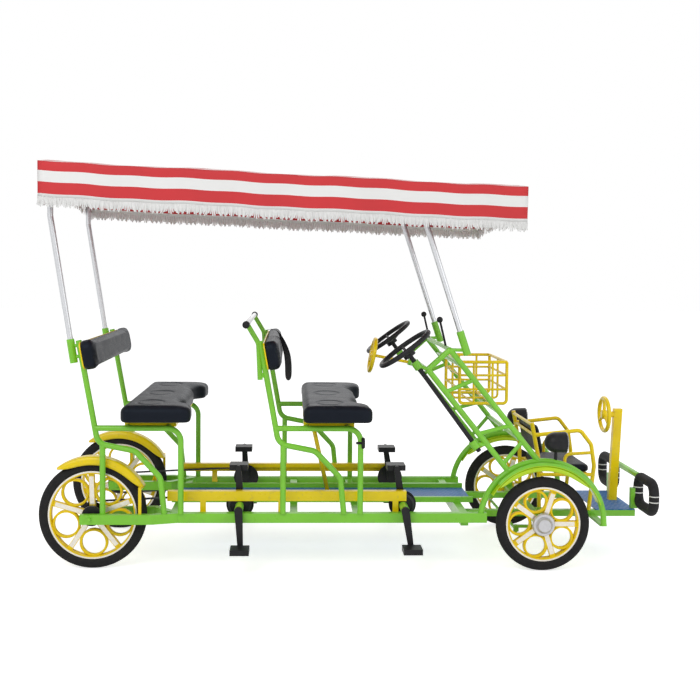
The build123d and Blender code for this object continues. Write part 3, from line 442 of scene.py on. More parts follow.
def lamp_glass():
    """Clear lamp glass with upright flutes."""
    glass = Finish("lamp_glass", Transmission_Weight=0.7, IOR=1.45, Roughness=0.08)
    _, y, _ = glass.axes()
    flutes = (y * 700.0).math("SINE")
    # Painted light: the colour follows the flutes, white on their crests and greyer in their troughs.
    glass.set(Base_Color=glass.mix(flutes * 0.5 + 0.5, rgba((0.85, 0.87, 0.9)), rgba((1.0, 1.0, 1.0))))
    glass.relief(flutes, 0.4, 0.001)
    return glass.material


def mesh_piece(name, vertices, faces, material, smooth=True, uv=None):
    """A mesh object at the origin from whole arrays; uv holds one pair for each vertex."""
    mesh = bpy.data.meshes.new(name)
    mesh.from_pydata(vertices.tolist(), [], [list(face) for face in faces])
    if uv is not None:
        layer = mesh.uv_layers.new(name="cloth")
        corner = np.empty(len(mesh.loops), dtype=np.int32)
        mesh.loops.foreach_get("vertex_index", corner)
        layer.data.foreach_set("uv", np.asarray(uv, dtype=np.float32)[corner].ravel())
    mesh.polygons.foreach_set("use_smooth", np.full(len(mesh.polygons), smooth))
    mesh.materials.append(material)
    piece = bpy.data.objects.new(name, mesh)
    bpy.context.scene.collection.objects.link(piece)
    return piece


def grid_faces(rows, columns, wrap_columns=False, start=0):
    """Quads of a rows by columns grid of points, optionally closed along each row."""
    i, j = np.meshgrid(np.arange(rows - 1), np.arange(columns - (not wrap_columns)), indexing="ij")
    i1, j1 = i + 1, (j + 1) % columns
    quads = np.stack([i * columns + j, i1 * columns + j, i1 * columns + j1, i * columns + j1], axis=-1)
    return quads.reshape(-1, 4) + start


def add_modifier(piece, kind, **values):
    """Adds a modifier to a piece and sets its values."""
    modifier = piece.modifiers.new(kind.title(), kind)
    for name, value in values.items():
        setattr(modifier, name, value)
    return modifier


def bake_modifiers(piece):
    """Replaces a piece's mesh by the same mesh with its modifiers applied."""
    graph = bpy.context.evaluated_depsgraph_get()
    done = bpy.data.meshes.new_from_object(piece.evaluated_get(graph))
    old = piece.data
    piece.modifiers.clear()
    piece.data = done
    bpy.data.meshes.remove(old)


def points_of(piece):
    """A mesh's points as an array of rows."""
    flat = np.empty(len(piece.data.vertices) * 3, dtype=np.float64)
    piece.data.vertices.foreach_get("co", flat)
    return flat.reshape(-1, 3)


def put_points(piece, points):
    """Writes an array of rows back to a mesh's points."""
    piece.data.vertices.foreach_set("co", points.ravel())
    piece.data.update()


def fit(piece, body=CHASSIS, node=None):
    """Lets a piece ride on a body, in a CAD node's place where one is named."""
    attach(piece, body)
    if node:
        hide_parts(node)


def swell(piece, voxel, cap):
    """Inflates a closed pad by a short cloth run: remesh, pressure with no gravity, moves capped."""
    add_modifier(piece, "REMESH", mode="VOXEL", voxel_size=voxel)
    bake_modifiers(piece)
    rest = points_of(piece)
    cloth = add_modifier(piece, "CLOTH").settings
    cloth.use_pressure = True
    cloth.uniform_pressure_force = PAD_PRESSURE
    cloth.effector_weights.gravity = 0.0
    cloth.quality = CLOTH_QUALITY
    for step in range(1, CLOTH_STEPS + 1):
        bpy.context.scene.frame_set(step)
    bake_modifiers(piece)
    bpy.context.scene.frame_set(1)
    moved = points_of(piece) - rest
    length = np.linalg.norm(moved, axis=1, keepdims=True)
    put_points(piece, rest + moved * np.minimum(1.0, cap / np.maximum(length, 1e-9)))
    piece.data.polygons.foreach_set("use_smooth", np.ones(len(piece.data.polygons), dtype=bool))


def flatten_under(piece, origin, normal, level):
    """Flattens a pad's underside: points lower than level along normal from origin move up to it."""
    points = points_of(piece)
    short = np.maximum(level - (points - origin) @ normal, 0)
    put_points(piece, points + short[:, None] * normal)


def travelled(points):
    """Distance along a row of points, from its first."""
    return np.concatenate([[0], np.cumsum(np.linalg.norm(np.diff(points, axis=0), axis=1))])


def canopy_height(x):
    """Height of the canopy's long edge: it falls evenly from the rear edge to the front."""
    return CANOPY_REAR_Z - (x - CANOPY_REAR_X) * math.sin(math.radians(CANOPY_DROP_DEG))


def canopy_top(along, across, settings):
    """Top of the cloth for shares along 0 to 1 and across -1 to 1.

    Height = edge line + crown x (1 - across^2) - a sag between bows that is widest in mid span + a fine
    wrinkle of two sines.
    """
    x = CANOPY_REAR_X + along * CANOPY_LENGTH
    span = np.interp(along, BOW_SHARES, np.arange(len(BOW_SHARES)))
    sag = settings.sag * np.sin(np.pi * span) ** 2 * (0.35 + 0.65 * (1 - across ** 2))
    wrinkle = 0.0016 * np.sin(along * 61 + across * 7) * np.sin(across * 9 + 1.3)
    z = canopy_height(x) + settings.crown * (1 - across ** 2) - sag + wrinkle
    return np.stack([x, across * CANOPY_HALF, z], axis=-1)


def hang(edge, outward, drop, phase, settings):
    """Valance points below an edge: they sway outwards in slow folds that grow towards the hem.

    Offset = sway x depth share x two sines along the edge - a narrow crease at even steps; drop is an
    array of depths.
    """
    travel = travelled(edge)
    share = (drop / settings.valance)[None, :]
    fold = np.sin(travel * 11 + phase) + 0.6 * np.sin(travel * 27 + 2 * phase)
    sway = settings.sway * (fold[:, None] - 0.9) * share
    from_crease = (travel[:, None] + phase) % CREASE_PITCH - CREASE_PITCH / 2
    crease = -CREASE_DEPTH * np.exp(-(from_crease / CREASE_WIDE) ** 2) * share ** 0.3
    points = edge[:, None, :] - drop[None, :, None] * UP
    return points + (sway + crease)[..., None] * np.asarray(outward)


def build_canopy(settings):
    """One striped sheet, a crowned top that turns down into a valance on all four sides, and its fringe."""
    along = np.linspace(0, 1, CANOPY_GRID[0])
    across = np.linspace(-1, 1, CANOPY_GRID[1])
    drop = np.linspace(0, settings.valance, VALANCE_ROWS)[1:]
    grid_along, grid_across = np.meshgrid(along, across, indexing="ij")
    top = canopy_top(grid_along, grid_across, settings)
    reach = travelled(top[len(along) // 2])
    right = hang(top[:, 0], (0, -1, 0), drop, 0.4, settings)
    left = hang(top[:, -1], (0, 1, 0), drop, 1.9, settings)
    wide = np.concatenate([right[:, ::-1], top, left], axis=1)
    depth = np.concatenate([settings.valance - drop[::-1], settings.valance + reach,
                            settings.valance + reach[-1] + drop])
    points, faces = [wide.reshape(-1, 3)], [grid_faces(*wide.shape[:2])]
    uvs = [np.stack(np.meshgrid(depth, along * CANOPY_LENGTH), axis=-1).reshape(-1, 2)]
    hems = [right[:, -1], left[:, -1]]
    count = len(points[0])
    for row, outward, phase in ((0, (-1, 0, 0), 3.1), (-1, (1, 0, 0), 4.4)):
        below = hang(top[row], outward, drop, phase, settings)
        end = np.concatenate([top[row][:, None, :], below], axis=1)
        end[0, 1:] = right[row]
        end[-1, 1:] = left[row]
        quads = grid_faces(*end.shape[:2], start=count)
        faces.append(quads[:, ::-1] if row == 0 else quads)
        fall, reached = np.meshgrid(np.r_[0, drop], settings.valance + reach)
        uvs.append(np.stack([reached, fall], axis=-1).reshape(-1, 2))
        points.append(end.reshape(-1, 3))
        count += end.shape[0] * end.shape[1]
        hems.append(end[:, -1])
    girth = reach[-1] + 2 * settings.valance
    pitch = (girth - 2 * settings.hem) / (settings.stripes - 1 + settings.red_share)
    sheet = mesh_piece("canopy_sheet", np.concatenate(points), np.concatenate(faces),
                       canopy_cloth(settings, pitch), uv=np.concatenate(uvs))
    add_modifier(sheet, "WELD", merge_threshold=0.0002)
    add_modifier(sheet, "SOLIDIFY", thickness=CLOTH_THICK, offset=-1)
    bake_modifiers(sheet)
    fringe = build_fringe(hems, settings)
    # The top with its side valances, then two end valances with the crown's segment above each.
    fit(sheet, node="canopy")
    fit(fringe)


def build_fringe(hems, settings):
    """Hanging yarn tufts along each hem: a thin strip each, leaning and curling by sines of its number."""
    strands, start = [], 0
    share = np.linspace(0, 1, YARN_ROWS)[None, :, None]
    for hem in hems:
        travel = travelled(hem)
        number = np.arange(int(travel[-1] / settings.yarn_pitch)) + start
        start = number[-1] + 1
        at = np.linspace(HEM_END, travel[-1] - HEM_END, len(number))
        root = np.stack([np.interp(at, travel, hem[:, axis]) for axis in range(3)], axis=-1)
        run = (hem[-1] - hem[0]) / np.linalg.norm(hem[-1] - hem[0])
        side = np.cross(run, UP)
        lean = 0.16 * np.sin(number * 12.9898) + 0.1 * np.sin(number * 0.21)
        curl = 0.10 * np.sin(number * 4.1414 + 1.0)
        length = settings.fringe * (0.86 + 0.14 * np.sin(number * 7.77))
        drop = length[:, None, None] * share
        bend = lean[:, None, None] * run + curl[:, None, None] * side
        middle = root[:, None, :] - 0.98 * drop * UP + drop * share * bend
        half = 0.6 * settings.yarn_pitch * (1.1 - 0.35 * share)
        twist = (0.5 * np.sin(number * 3.3))[:, None, None]
        width = half * (run + twist * side)
        strands.append(np.stack([middle - width, middle + width], axis=2))
    tufts = np.concatenate(strands)
    quads = grid_faces(YARN_ROWS, 2)
    faces = (quads[None] + 2 * YARN_ROWS * np.arange(len(tufts))[:, None, None]).reshape(-1, 4)
    return mesh_piece("canopy_fringe", tufts.reshape(-1, 3), faces, fringe_yarn(settings), smooth=False)


def pad_solid(name, outline, low, high, bottom_r, top_r, material, matrix=None):
    """A closed pad over a plan outline with rounded edges, from a profile carried round the outline.

    The profile is a quarter circle of bottom_r, an upright side and a quarter circle of top_r; each of its
    points insets the outline along the outline's own normals, and flat caps close both ends.
    """
    ahead, behind = np.roll(outline, -1, axis=0), np.roll(outline, 1, axis=0)
    tangent = ahead - behind
    normal = np.stack([tangent[:, 1], -tangent[:, 0]], axis=1)
    normal /= np.linalg.norm(normal, axis=1, keepdims=True)
    turn = np.linspace(0, np.pi / 2, 6)
    inset = np.concatenate([bottom_r * (1 - np.sin(turn)), top_r * (1 - np.cos(turn))])
    height = np.concatenate([low + bottom_r * (1 - np.cos(turn)), high - top_r * (1 - np.sin(turn))])
    plan = outline[None] - inset[:, None, None] * normal[None]
    level = np.broadcast_to(height[:, None, None], (*plan.shape[:2], 1))
    rings = np.concatenate([plan, level], axis=2)
    count = len(outline)
    faces = [tuple(face) for face in grid_faces(len(inset), count, wrap_columns=True)[:, ::-1]]
    faces.append(tuple(range(count))[::-1])
    faces.append(tuple(range(count * (len(inset) - 1), count * len(inset))))
    points = rings.reshape(-1, 3)
    if matrix is not None:
        points = points @ np.asarray(matrix)[:3, :3].T + np.asarray(matrix)[:3, 3]
    return mesh_piece(name, points, faces, material)


def bench_outline(row_x):
    """Plan of a bench cushion, anticlockwise: the notched front edge from right to left, then the back.

    The front edge is the furthest-back of the straight edge, two circles and the set-back middle lobe,
    smoothed by a short bell curve; all four corners are rounded by a quarter circle.
    """
    y = -BENCH_HALF * np.cos(np.linspace(0, np.pi, 150))
    round_off = np.maximum(np.abs(y) - (BENCH_HALF - CORNER_R), 0)
    corner = CORNER_R - np.sqrt(np.maximum(CORNER_R ** 2 - round_off ** 2, 0))
    front = row_x + BENCH_FRONT
    circle = NOTCH_R ** 2 - (np.abs(y) - NOTCH_Y) ** 2
    notch = np.where(circle > 0, front + NOTCH_R - NOTCH_DEPTH - np.sqrt(np.maximum(circle, 0)), front)
    middle = np.where(np.abs(y) < NOTCH_Y, front - MIDDLE_SETBACK, front)
    edge = np.minimum(np.minimum(notch, middle), front)
    bell = np.hanning(9) / np.hanning(9).sum()
    edge = np.convolve(np.pad(edge, 4, mode="edge"), bell, mode="valid") - corner
    back = row_x + BENCH_BACK + corner
    return np.concatenate([np.stack([edge, y], axis=1), np.stack([back, y], axis=1)[::-1]])


def rounded_rectangle(width, height, radius, low=0.0):
    """Outline of a rounded rectangle, anticlockwise, centred across and standing on low."""
    quarter = np.linspace(0, np.pi / 2, 9)
    arcs = []
    for number, (sx, sy) in enumerate(((1, 1), (-1, 1), (-1, -1), (1, -1))):
        angle = quarter + number * np.pi / 2
        across = sx * (width / 2 - radius) + radius * np.cos(angle)
        up = low + height / 2 + sy * (height / 2 - radius) + radius * np.sin(angle)
        arcs.append(np.stack([across, up], axis=1))
    return np.concatenate(arcs)


def sew_ovals(piece, row_x, top_z):
    """Presses sewn oval channels into a bench's top: a narrow dip along each oval and a soft one inside."""
    points = points_of(piece)
    near_top = np.clip((points[:, 2] - top_z + 0.03) / 0.02, 0, 1)
    along = (points[:, 0] - row_x - OVAL_X) / OVAL_HALF[0]
    dip = np.zeros(len(points))
    for centre in OVAL_Y:
        ring = np.hypot(along, (points[:, 1] - centre) / OVAL_HALF[1])
        gap = (ring - 1) * OVAL_HALF[0]
        dip += 0.006 * np.exp(-(gap / 0.006) ** 2) + 0.003 * np.exp(-(ring / 0.8) ** 2)
    points[:, 2] -= dip * near_top
    put_points(piece, points)


def lean_matrix(x, z, degrees):
    """Local frame of a leaning pad: across to +Y, up along the pad, and out of its face."""
    tilt = math.radians(degrees)
    return Matrix(((0, -math.sin(tilt), math.cos(tilt), x), (1, 0, 0, 0),
                   (0, math.cos(tilt), math.sin(tilt), z), (0, 0, 0, 1)))


def finish_pad(piece, node):
    add_modifier(piece, "SUBSURF", levels=1, render_levels=1)
    fit(piece, node=node)


def build_benches(settings):
    """Two bench cushions with notched fronts, swollen by a cloth run and sewn with ovals."""
    cover = vinyl("bench_vinyl", settings.vinyl)
    low, high = BENCH_Z
    for row, row_x in ROW_X.items():
        bench = pad_solid(f"bench_{row}", bench_outline(row_x), low, high - settings.swell * SWELL_SHARE,
                          *BENCH_EDGES, cover)
        swell(bench, PAD_VOXEL, settings.swell)
        flatten_under(bench, np.zeros(3), UP, low)
        sew_ovals(bench, row_x, high)
        finish_pad(bench, f"cushion_{row}")


def build_backrests(settings):
    """Two backrest pads that lean with the back posts, and two smaller pads of the child's seat."""
    cover = vinyl("backrest_vinyl", settings.vinyl)
    low, high = BACK_FACE
    outline = rounded_rectangle(2 * BENCH_HALF - 2 * BACK_EASE, BACK_TALL - 2 * BACK_EASE, BACK_CORNER_R,
                                BACK_EASE)
    for row, row_x in ROW_X.items():
        lean = lean_matrix(row_x + BACK_POST_X, BACK_LOW_Z, BACK_TILT)
        pad = pad_solid(f"back_pad_{row}", outline, low, high - settings.swell * SWELL_SHARE, *BACK_EDGES,
                        cover, lean)
        swell(pad, PAD_VOXEL, settings.swell)
        flatten_under(pad, np.array(lean.translation), np.array(lean.col[2][:3]), low)
        finish_pad(pad, f"backrest_{row}")
    plan = rounded_rectangle(*CHILD_SEAT, CHILD_CORNER_R, -CHILD_SEAT[1] / 2) + np.array((CHILD_SEAT_X, 0))
    seat = pad_solid("child_seat_cushion", plan, *CHILD_SEAT_Z, *CHILD_SEAT_EDGES, cover)
    face = rounded_rectangle(*CHILD_BACK, CHILD_CORNER_R, BACK_EASE)
    back = pad_solid("child_back_cushion", face, *CHILD_BACK_FACE, *CHILD_BACK_EDGES, cover,
                     lean_matrix(*CHILD_BACK_LEAN))
    for pad, node in ((seat, "child_seat_pads"), (back, None)):
        swell(pad, CHILD_VOXEL, CHILD_SWELL)
        if pad is seat:
            flatten_under(pad, np.zeros(3), UP, CHILD_SEAT_Z[0])
        finish_pad(pad, node)


def band(centre, axis, radius, length, bulge=0.0, sides=28, rows=7):
    """Points of a sleeve about an axis: radius + bulge x (1 - t^2) along its length, t from -1 to 1."""
    axis = np.asarray(axis, dtype=float)
    first = np.cross(axis, (0.3, 0.5, 0.81))
    first /= np.linalg.norm(first)
    second = np.cross(axis, first)
    share = np.linspace(-1, 1, rows)[:, None, None]
    angle = np.linspace(0, 2 * np.pi, sides, endpoint=False)[None, :, None]
    ring = (radius + bulge * (1 - share ** 2)) * (np.cos(angle) * first + np.sin(angle) * second)
    return np.asarray(centre) + share * length / 2 * axis + ring


def bands_piece(name, sleeves, material, capped=False):
    """One mesh of several sleeves; a capped sleeve's ends close on their middles."""
    points, faces, start = [], [], 0
    for sleeve in sleeves:
        if capped:
            ends = [np.broadcast_to(sleeve[row].mean(axis=0), sleeve[row].shape)[None] for row in (0, -1)]
            sleeve = np.concatenate([ends[0], sleeve, ends[1]])
        points.append(sleeve.reshape(-1, 3))
        faces.append(grid_faces(*sleeve.shape[:2], wrap_columns=True, start=start))
        start += sleeve.shape[0] * sleeve.shape[1]
    piece = mesh_piece(name, np.concatenate(points), np.concatenate(faces)[:, ::-1], material)
    add_modifier(piece, "WELD", merge_threshold=0.00005)
    bake_modifiers(piece)
    return piece


def rounded_route(points, rounds=3):
    """A route's corners cut by quarters, rounds times, which tends to a smooth curve; its ends stay."""
    route = np.asarray(points, dtype=float)
    for _ in range(rounds):
        low = 0.75 * route[:-1] + 0.25 * route[1:]
        high = 0.25 * route[:-1] + 0.75 * route[1:]
        cut = np.stack([low, high], axis=1).reshape(-1, 3)
        route = np.concatenate([route[:1], cut[1:-1], route[-1:]])
    return route


def tube_points(points, radius, rounds=3, sides=12, closed=False):
    """A circle carried along a rounded route: rings of points, on the normal of the route's own plane."""
    route = rounded_route(points, rounds)
    tangent = np.gradient(route, axis=0)
    if closed:
        tangent[0] = tangent[-1] = tangent[0] + tangent[-1]
    tangent /= np.linalg.norm(tangent, axis=1, keepdims=True)
    steadiest = np.eye(3)[np.argmin(np.abs(tangent).max(axis=0))]
    first = steadiest - (tangent @ steadiest)[:, None] * tangent
    first /= np.linalg.norm(first, axis=1, keepdims=True)
    second = np.cross(tangent, first)
    angle = np.linspace(0, 2 * np.pi, sides, endpoint=False)[None, :, None]
    return route[:, None] + radius * (np.cos(angle) * first[:, None] + np.sin(angle) * second[:, None])


def build_basket(settings):
    """Basket of bent rods: a top hoop, two lower hoops, three rods bent down and up along it, two across."""
    low, high = (np.array(corner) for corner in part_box("basket"))
    x0, y0, z0 = low + BASKET_ROD
    x1, y1, z1 = high - BASKET_ROD
    x_mid = (x0 + x1) / 2
    routes = []
    for z, radius in ((z1, BASKET_ROD), (z0 + 0.68 * (z1 - z0), BASKET_WIRE),
                      (z0 + 0.34 * (z1 - z0), BASKET_WIRE)):
        hoop = [(x_mid, y0, z), (x1, y0, z), (x1, y1, z), (x0, y1, z), (x0, y0, z), (x_mid, y0, z)]
        routes.append((hoop, radius))
    for share, radius in ((0.0, BASKET_ROD), (0.5, BASKET_WIRE), (1.0, BASKET_ROD)):
        y = y0 + share * (y1 - y0)
        routes.append(([(x0, y, z1), (x0, y, z0), (x1, y, z0), (x1, y, z1)], radius))
    for share in (0.3, 0.7):
        x = x0 + share * (x1 - x0)
        routes.append(([(x, y0, z1), (x, y0, z0), (x, y1, z0), (x, y1, z1)], BASKET_WIRE))
    rods = [tube_points(cut_corners(route, BASKET_CORNER), radius, 2) for route, radius in routes]
    paint = gloss_paint("basket_yellow", settings.yellow, 0.8)
    fit(bands_piece("rod_basket", rods, paint, capped=True), node="basket")


def cut_corners(points, reach):
    """Each inner corner of a route doubled to two points at a reach before and after it."""
    route = np.asarray(points, dtype=float)
    back = route[:-2] - route[1:-1]
    ahead = route[2:] - route[1:-1]
    before = route[1:-1] + reach * back / np.linalg.norm(back, axis=1, keepdims=True)
    after = route[1:-1] + reach * ahead / np.linalg.norm(ahead, axis=1, keepdims=True)
    middle = np.stack([before, route[1:-1], after], axis=1).reshape(-1, 3)
    return np.concatenate([route[:1], middle, route[-1:]])


def guard_shell(axle, crown_r, lip_r, mid_y, half, start, stop):
    """A crowned mudguard on an arc about the axle, with t from -1 to 1 along it and s across it.

    Radius = crown - (crown - lip) x (1 - 0.75 t^6) x (1 - sqrt(1 - s^8)), so the lips shorten at both tips.
    """
    turn = np.radians(np.linspace(start, stop, GUARD_GRID[0]))[:, None]
    across = np.sin(np.linspace(-np.pi / 2, np.pi / 2, GUARD_GRID[1]))[None]
    taper = 1 - 0.75 * np.linspace(-1, 1, GUARD_GRID[0])[:, None] ** 6
    radius = crown_r - (crown_r - lip_r) * taper * (1 - np.sqrt(np.maximum(1 - across ** 8, 0)))
    return np.stack([axle[0] + radius * np.cos(turn), np.broadcast_to(mid_y + half * across, radius.shape),
                     axle[1] + radius * np.sin(turn)], axis=-1)


def build_guards(settings):
    """Crowned shells with turned-down lips on the sheets of the four mudguards."""
    for end, colour, slot in (("rear", settings.yellow, "trim_yellow"),
                              ("front", settings.lime, "frame_green")):
        crown_r, lip_r, mid_y, half, start, stop = GUARDS[end]
        shells = np.concatenate([guard_shell(AXLES[end], crown_r, lip_r, side * mid_y, half, start, stop)
                                 for side in (-1, 1)])
        count = GUARD_GRID[0] * GUARD_GRID[1]
        faces = np.concatenate([grid_faces(*GUARD_GRID, start=first) for first in (0, count)])
        guard = mesh_piece(f"guard_shells_{end}", shells.reshape(-1, 3), faces[:, ::-1],
                           gloss_paint(f"guard_paint_{end}", colour, 0.8))
        add_modifier(guard, "SOLIDIFY", thickness=GUARD_THICK, offset=-1)
        bake_modifiers(guard)
        fit(guard)


def build_small_wheels(settings):
    """Thick rims, three round spokes and domed hubs over the two small hand wheels, which turn with them."""
    joints = {row["name"]: row for row in frame["record"]["behaviour"]["joints"]}
    side = np.array((0, 1.0, 0))
    turn = np.linspace(0, 2 * np.pi, 49)[:, None]
    spoke_turn = np.radians(SMALL_SPOKE_DEG)[:, None]
    for name, place in SMALL_CENTRE.items():
        body = f"play_wheel_{name}"
        axis = np.array(joints[f"{body}_turn"]["axis"], dtype=float)
        axis /= np.linalg.norm(axis)
        rise = np.cross(axis, side)
        centre, rim_r = np.array(place), SMALL_RIM_R[name]
        route = centre + rim_r * (np.cos(turn) * side + np.sin(turn) * rise)
        rim = tube_points(route, SMALL_RIM_TUBE, 0, 14, closed=True)
        ends = centre + rim_r * (np.cos(spoke_turn) * side + np.sin(spoke_turn) * rise)
        spokes = [tube_points([centre, end], SMALL_SPOKE_TUBE, 0) for end in ends]
        paint = gloss_paint(f"small_wheel_{name}_paint", settings.yellow, 0.6)
        wheel = bands_piece(f"small_wheel_{name}", [rim, *spokes], paint)
        cap = bands_piece(f"small_wheel_{name}_hub", [band(centre, axis, *SMALL_HUB)], paint, capped=True)
        for piece in (wheel, cap):
            fit(piece, body)


def build_wheel_rings():
    """Thicker collars round the holes of the cast wheels, one in each space between two spokes."""
    for end, (x0, z0) in AXLES.items():
        inner = z0 - TYRE_HEIGHT - RIM_DEPTH
        spaces = np.radians(SPOKE_START[end] + 180 / SPOKES + np.arange(SPOKES) * 360 / SPOKES)
        for side_name, side in SIDES.items():
            middles = [(x0 + RING_AT * inner * math.cos(turn), side * WHEEL_Y[end],
                        z0 + RING_AT * inner * math.sin(turn)) for turn in -side * spaces]
            collars = [band(middle, (0, 1, 0), RING_HOLE * inner, RING_WIDE, sides=40, rows=4)
                       for middle in middles]
            rings = bands_piece(f"wheel_collars_{end}_{side_name}", collars,
                                NODES[f"wheel_{end}_{side_name}"].data.materials[0])
            add_modifier(rings, "SOLIDIFY", thickness=RING_THICK, offset=1)
            bake_modifiers(rings)
            fit(rings, f"{end}_wheel_{side_name}")


def build_straps():
    """Pale straps round the foam of both bumper loops, two on each upright."""
    strap = Finish("bumper_strap", Roughness=0.6)
    strap.set(Base_Color=strap.mix(strap.noise(90.0), rgba((0.6, 0.6, 0.58)), rgba((0.85, 0.85, 0.82))))
    low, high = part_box("bumper")
    x = (low[0] + high[0]) / 2
    ties = [band((x, side * y, z), (0, 0, 1), STRAP_R, STRAP_WIDE)
            for side in (-1, 1) for y in STRAP_Y for z in STRAP_Z]
    straps = bands_piece("bumper_straps", ties, strap.material)
    add_modifier(straps, "SOLIDIFY", thickness=STRAP_THICK, offset=1)
    bake_modifiers(straps)
    fit(straps)


def build_belt():
    """Belt strap over the front backrest: a flat strip carried along a route and turned about the upright."""
    turn = np.radians(BELT_TURN_DEG)
    across = np.stack([-np.sin(turn), np.cos(turn), 0 * turn], axis=1)
    strip = BELT_ROUTE[:, None] + np.array((-BELT_HALF, BELT_HALF))[None, :, None] * across[:, None]
    webbing = Finish("belt_webbing", Roughness=0.8)
    _, y, z = webbing.axes()
    weave = (y * 2600.0).math("SINE") * (z * 1300.0).math("SINE")
    # Painted shade and highlight: the colour follows the weave relief, darker in its hollows and paler on its
    # crests.
    webbing.set(Base_Color=webbing.mix(weave * 0.5 + 0.5, rgba((0.006, 0.006, 0.007)),
                                       rgba((0.03, 0.03, 0.033))))
    webbing.relief(weave, 0.4, 0.0008)
    belt = mesh_piece("belt_strap", strip.reshape(-1, 3), grid_faces(len(turn), 2), webbing.material)
    add_modifier(belt, "SOLIDIFY", thickness=BELT_THICK, offset=1)
    add_modifier(belt, "SUBSURF", levels=2, render_levels=2)
    bake_modifiers(belt)
    fit(belt)


def build_trim():
    """Grips on the crossbar, bumper straps, the belt strap and the knob under the front bench."""
    rubber = black_coat("grip_rubber", 0.6)
    low, high = (np.array(corner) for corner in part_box("grab_handle_bar"))
    x, _, z = (low + high) / 2
    sleeves = [band((x, side * (high[1] - GRIP_INSET), z), (0, 1, 0), *GRIP) for side in (-1, 1)]
    fit(bands_piece("crossbar_grips", sleeves, rubber, capped=True))
    build_straps()
    build_belt()
    turned = [band(KNOB_AT, (1, 0, 0), *KNOB), band(KNOB_STEM_AT, (1, 0, 0), *KNOB_STEM)]
    fit(bands_piece("seat_knob", turned, rubber, capped=True))


def build_strut(settings):
    """Slanted strut from the walkway to the front bench, with a flat foot and a flat top pad."""
    foot = np.array((STRUT_FOOT_X, 0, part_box("walkway")[1][2]))
    head = np.array((STRUT_HEAD_X, 0, BENCH_Z[0]))
    tube = tube_points([foot, head], STRUT_R, 0, 20)
    lift = STRUT_PAD_THICK / 2 * UP
    pads = [band(middle, UP, STRUT_PAD_R, STRUT_PAD_THICK) for middle in (foot + lift, head - lift)]
    paint = gloss_paint("strut_yellow", settings.yellow, 0.8)
    fit(bands_piece("bench_strut", [tube, *pads], paint, capped=True))


def both(name):
    """A node's name on the left and on the right."""
    return tuple(f"{name}_{side}" for side in SIDES)


def paint_nodes(settings):
    """Gives every CAD node that stays its finish."""
    finishes = {
        gloss_paint("green_paint", settings.green): (
            *both("rail"), "cross_members", "seat_frame_rear", "seat_frame_front", "grab_handle_tubes",
            "steering_trusses", "front_arches", "front_frame", "post_sockets", *both("knuckle"), "tie_rod",
            "bumper_bar"),
        gloss_paint("yellow_paint", settings.yellow, 0.8): (
            "seat_plates", "rear_mudguards", "chain_guards", "child_seat_frame", "child_post",
            "hand_wheel_middle", "hand_wheel_child"),
        gloss_paint("lime_paint", settings.lime): ("front_mudguards",),
        black_coat("black_coat"): (
            *both("rear_hub"), *both("crank_rear"), *both("crank_front"), *both("steering_wheel"),
            "brake_levers", "headlamps"),
        metal("galvanised_tube", (0.62, 0.63, 0.65), 0.26): (
            "canopy_posts", "canopy_frame", "grab_handle_bar"),
        metal("chain_steel", (0.05, 0.05, 0.055), 0.4, 900.0, 0.7): ("chains",),
        blue_plate(settings.blue): ("walkway", "platform"),
        metal("cap_alloy", (0.55, 0.55, 0.57), 0.3, 60.0, 0.6): both("front_hub_cap"),
        foam_cover(): ("bumper",),
        lamp_glass(): ("headlamp_lenses",),
    }
    for end in AXLES:
        finishes[tyre_finish(end)] = both(f"tyre_{end}")
        for side in SIDES:
            finishes[wheel_finish(end, side, settings.yellow)] = (f"wheel_{end}_{side}",)
    for finish, names in finishes.items():
        for name in names:
            mesh = NODES[name].data
            mesh.materials.clear()
            mesh.materials.append(finish)


def area_lamp(name, place, aim, size, power):
    """A square soft lamp at a place, turned to face a point."""
    data = bpy.data.lights.new(name, "AREA")
    data.size = size
    data.energy = power
    lamp = bpy.data.objects.new(name, data)
    lamp.matrix_world = look_from(place, aim)
    bpy.context.scene.collection.objects.link(lamp)


def look_from(place, aim, roll=0.0):
    """Matrix of a camera or lamp at a place that looks at a point, rolled clockwise by degrees."""
    back = np.subtract(place, aim).astype(float)
    back /= np.linalg.norm(back)
    right = np.cross((0, 0, 1.0), back)
    right /= np.linalg.norm(right)
    up = np.cross(back, right)
    turn = math.radians(roll)
    right, up = right * math.cos(turn) + up * math.sin(turn), up * math.cos(turn) - right * math.sin(turn)
    columns = np.stack([right, up, back, np.asarray(place, dtype=float)], axis=1)
    return Matrix([*columns.tolist(), [0, 0, 0, 1]])


def open_rays(tree):
    """1 for a ray from the camera, a mirror or glass, 0 for any other."""
    path = tree.nodes.new("ShaderNodeLightPath")
    rays = Wire(tree, path.outputs["Is Camera Ray"])
    for name in ("Is Glossy Ray", "Is Transmission Ray"):
        rays = rays.math("MAXIMUM", Wire(tree, path.outputs[name]))
    return rays


def build_camera(settings):
    """The camera at the photograph's viewing angle, with its focal length and centre in the frame."""
    data = bpy.data.cameras.new("photo_camera")
    data.sensor_width = SENSOR_WIDTH
    data.lens = settings.focal_px * SENSOR_WIDTH / PHOTO_SIDE
    data.shift_x = 0.5 - settings.centre_px[0] / PHOTO_SIDE
    data.shift_y = settings.centre_px[1] / PHOTO_SIDE - 0.5
    camera = bpy.data.objects.new("photo_camera", data)
    yaw, pitch = (math.radians(angle) for angle in settings.camera_turn[:2])
    sight = np.array((math.sin(yaw) * math.cos(pitch), math.cos(yaw) * math.cos(pitch), -math.sin(pitch)))
    place = np.array(settings.camera_place)
    camera.matrix_world = look_from(place, place + sight, settings.camera_turn[2])
    bpy.context.scene.collection.objects.link(camera)
    bpy.context.scene.camera = camera


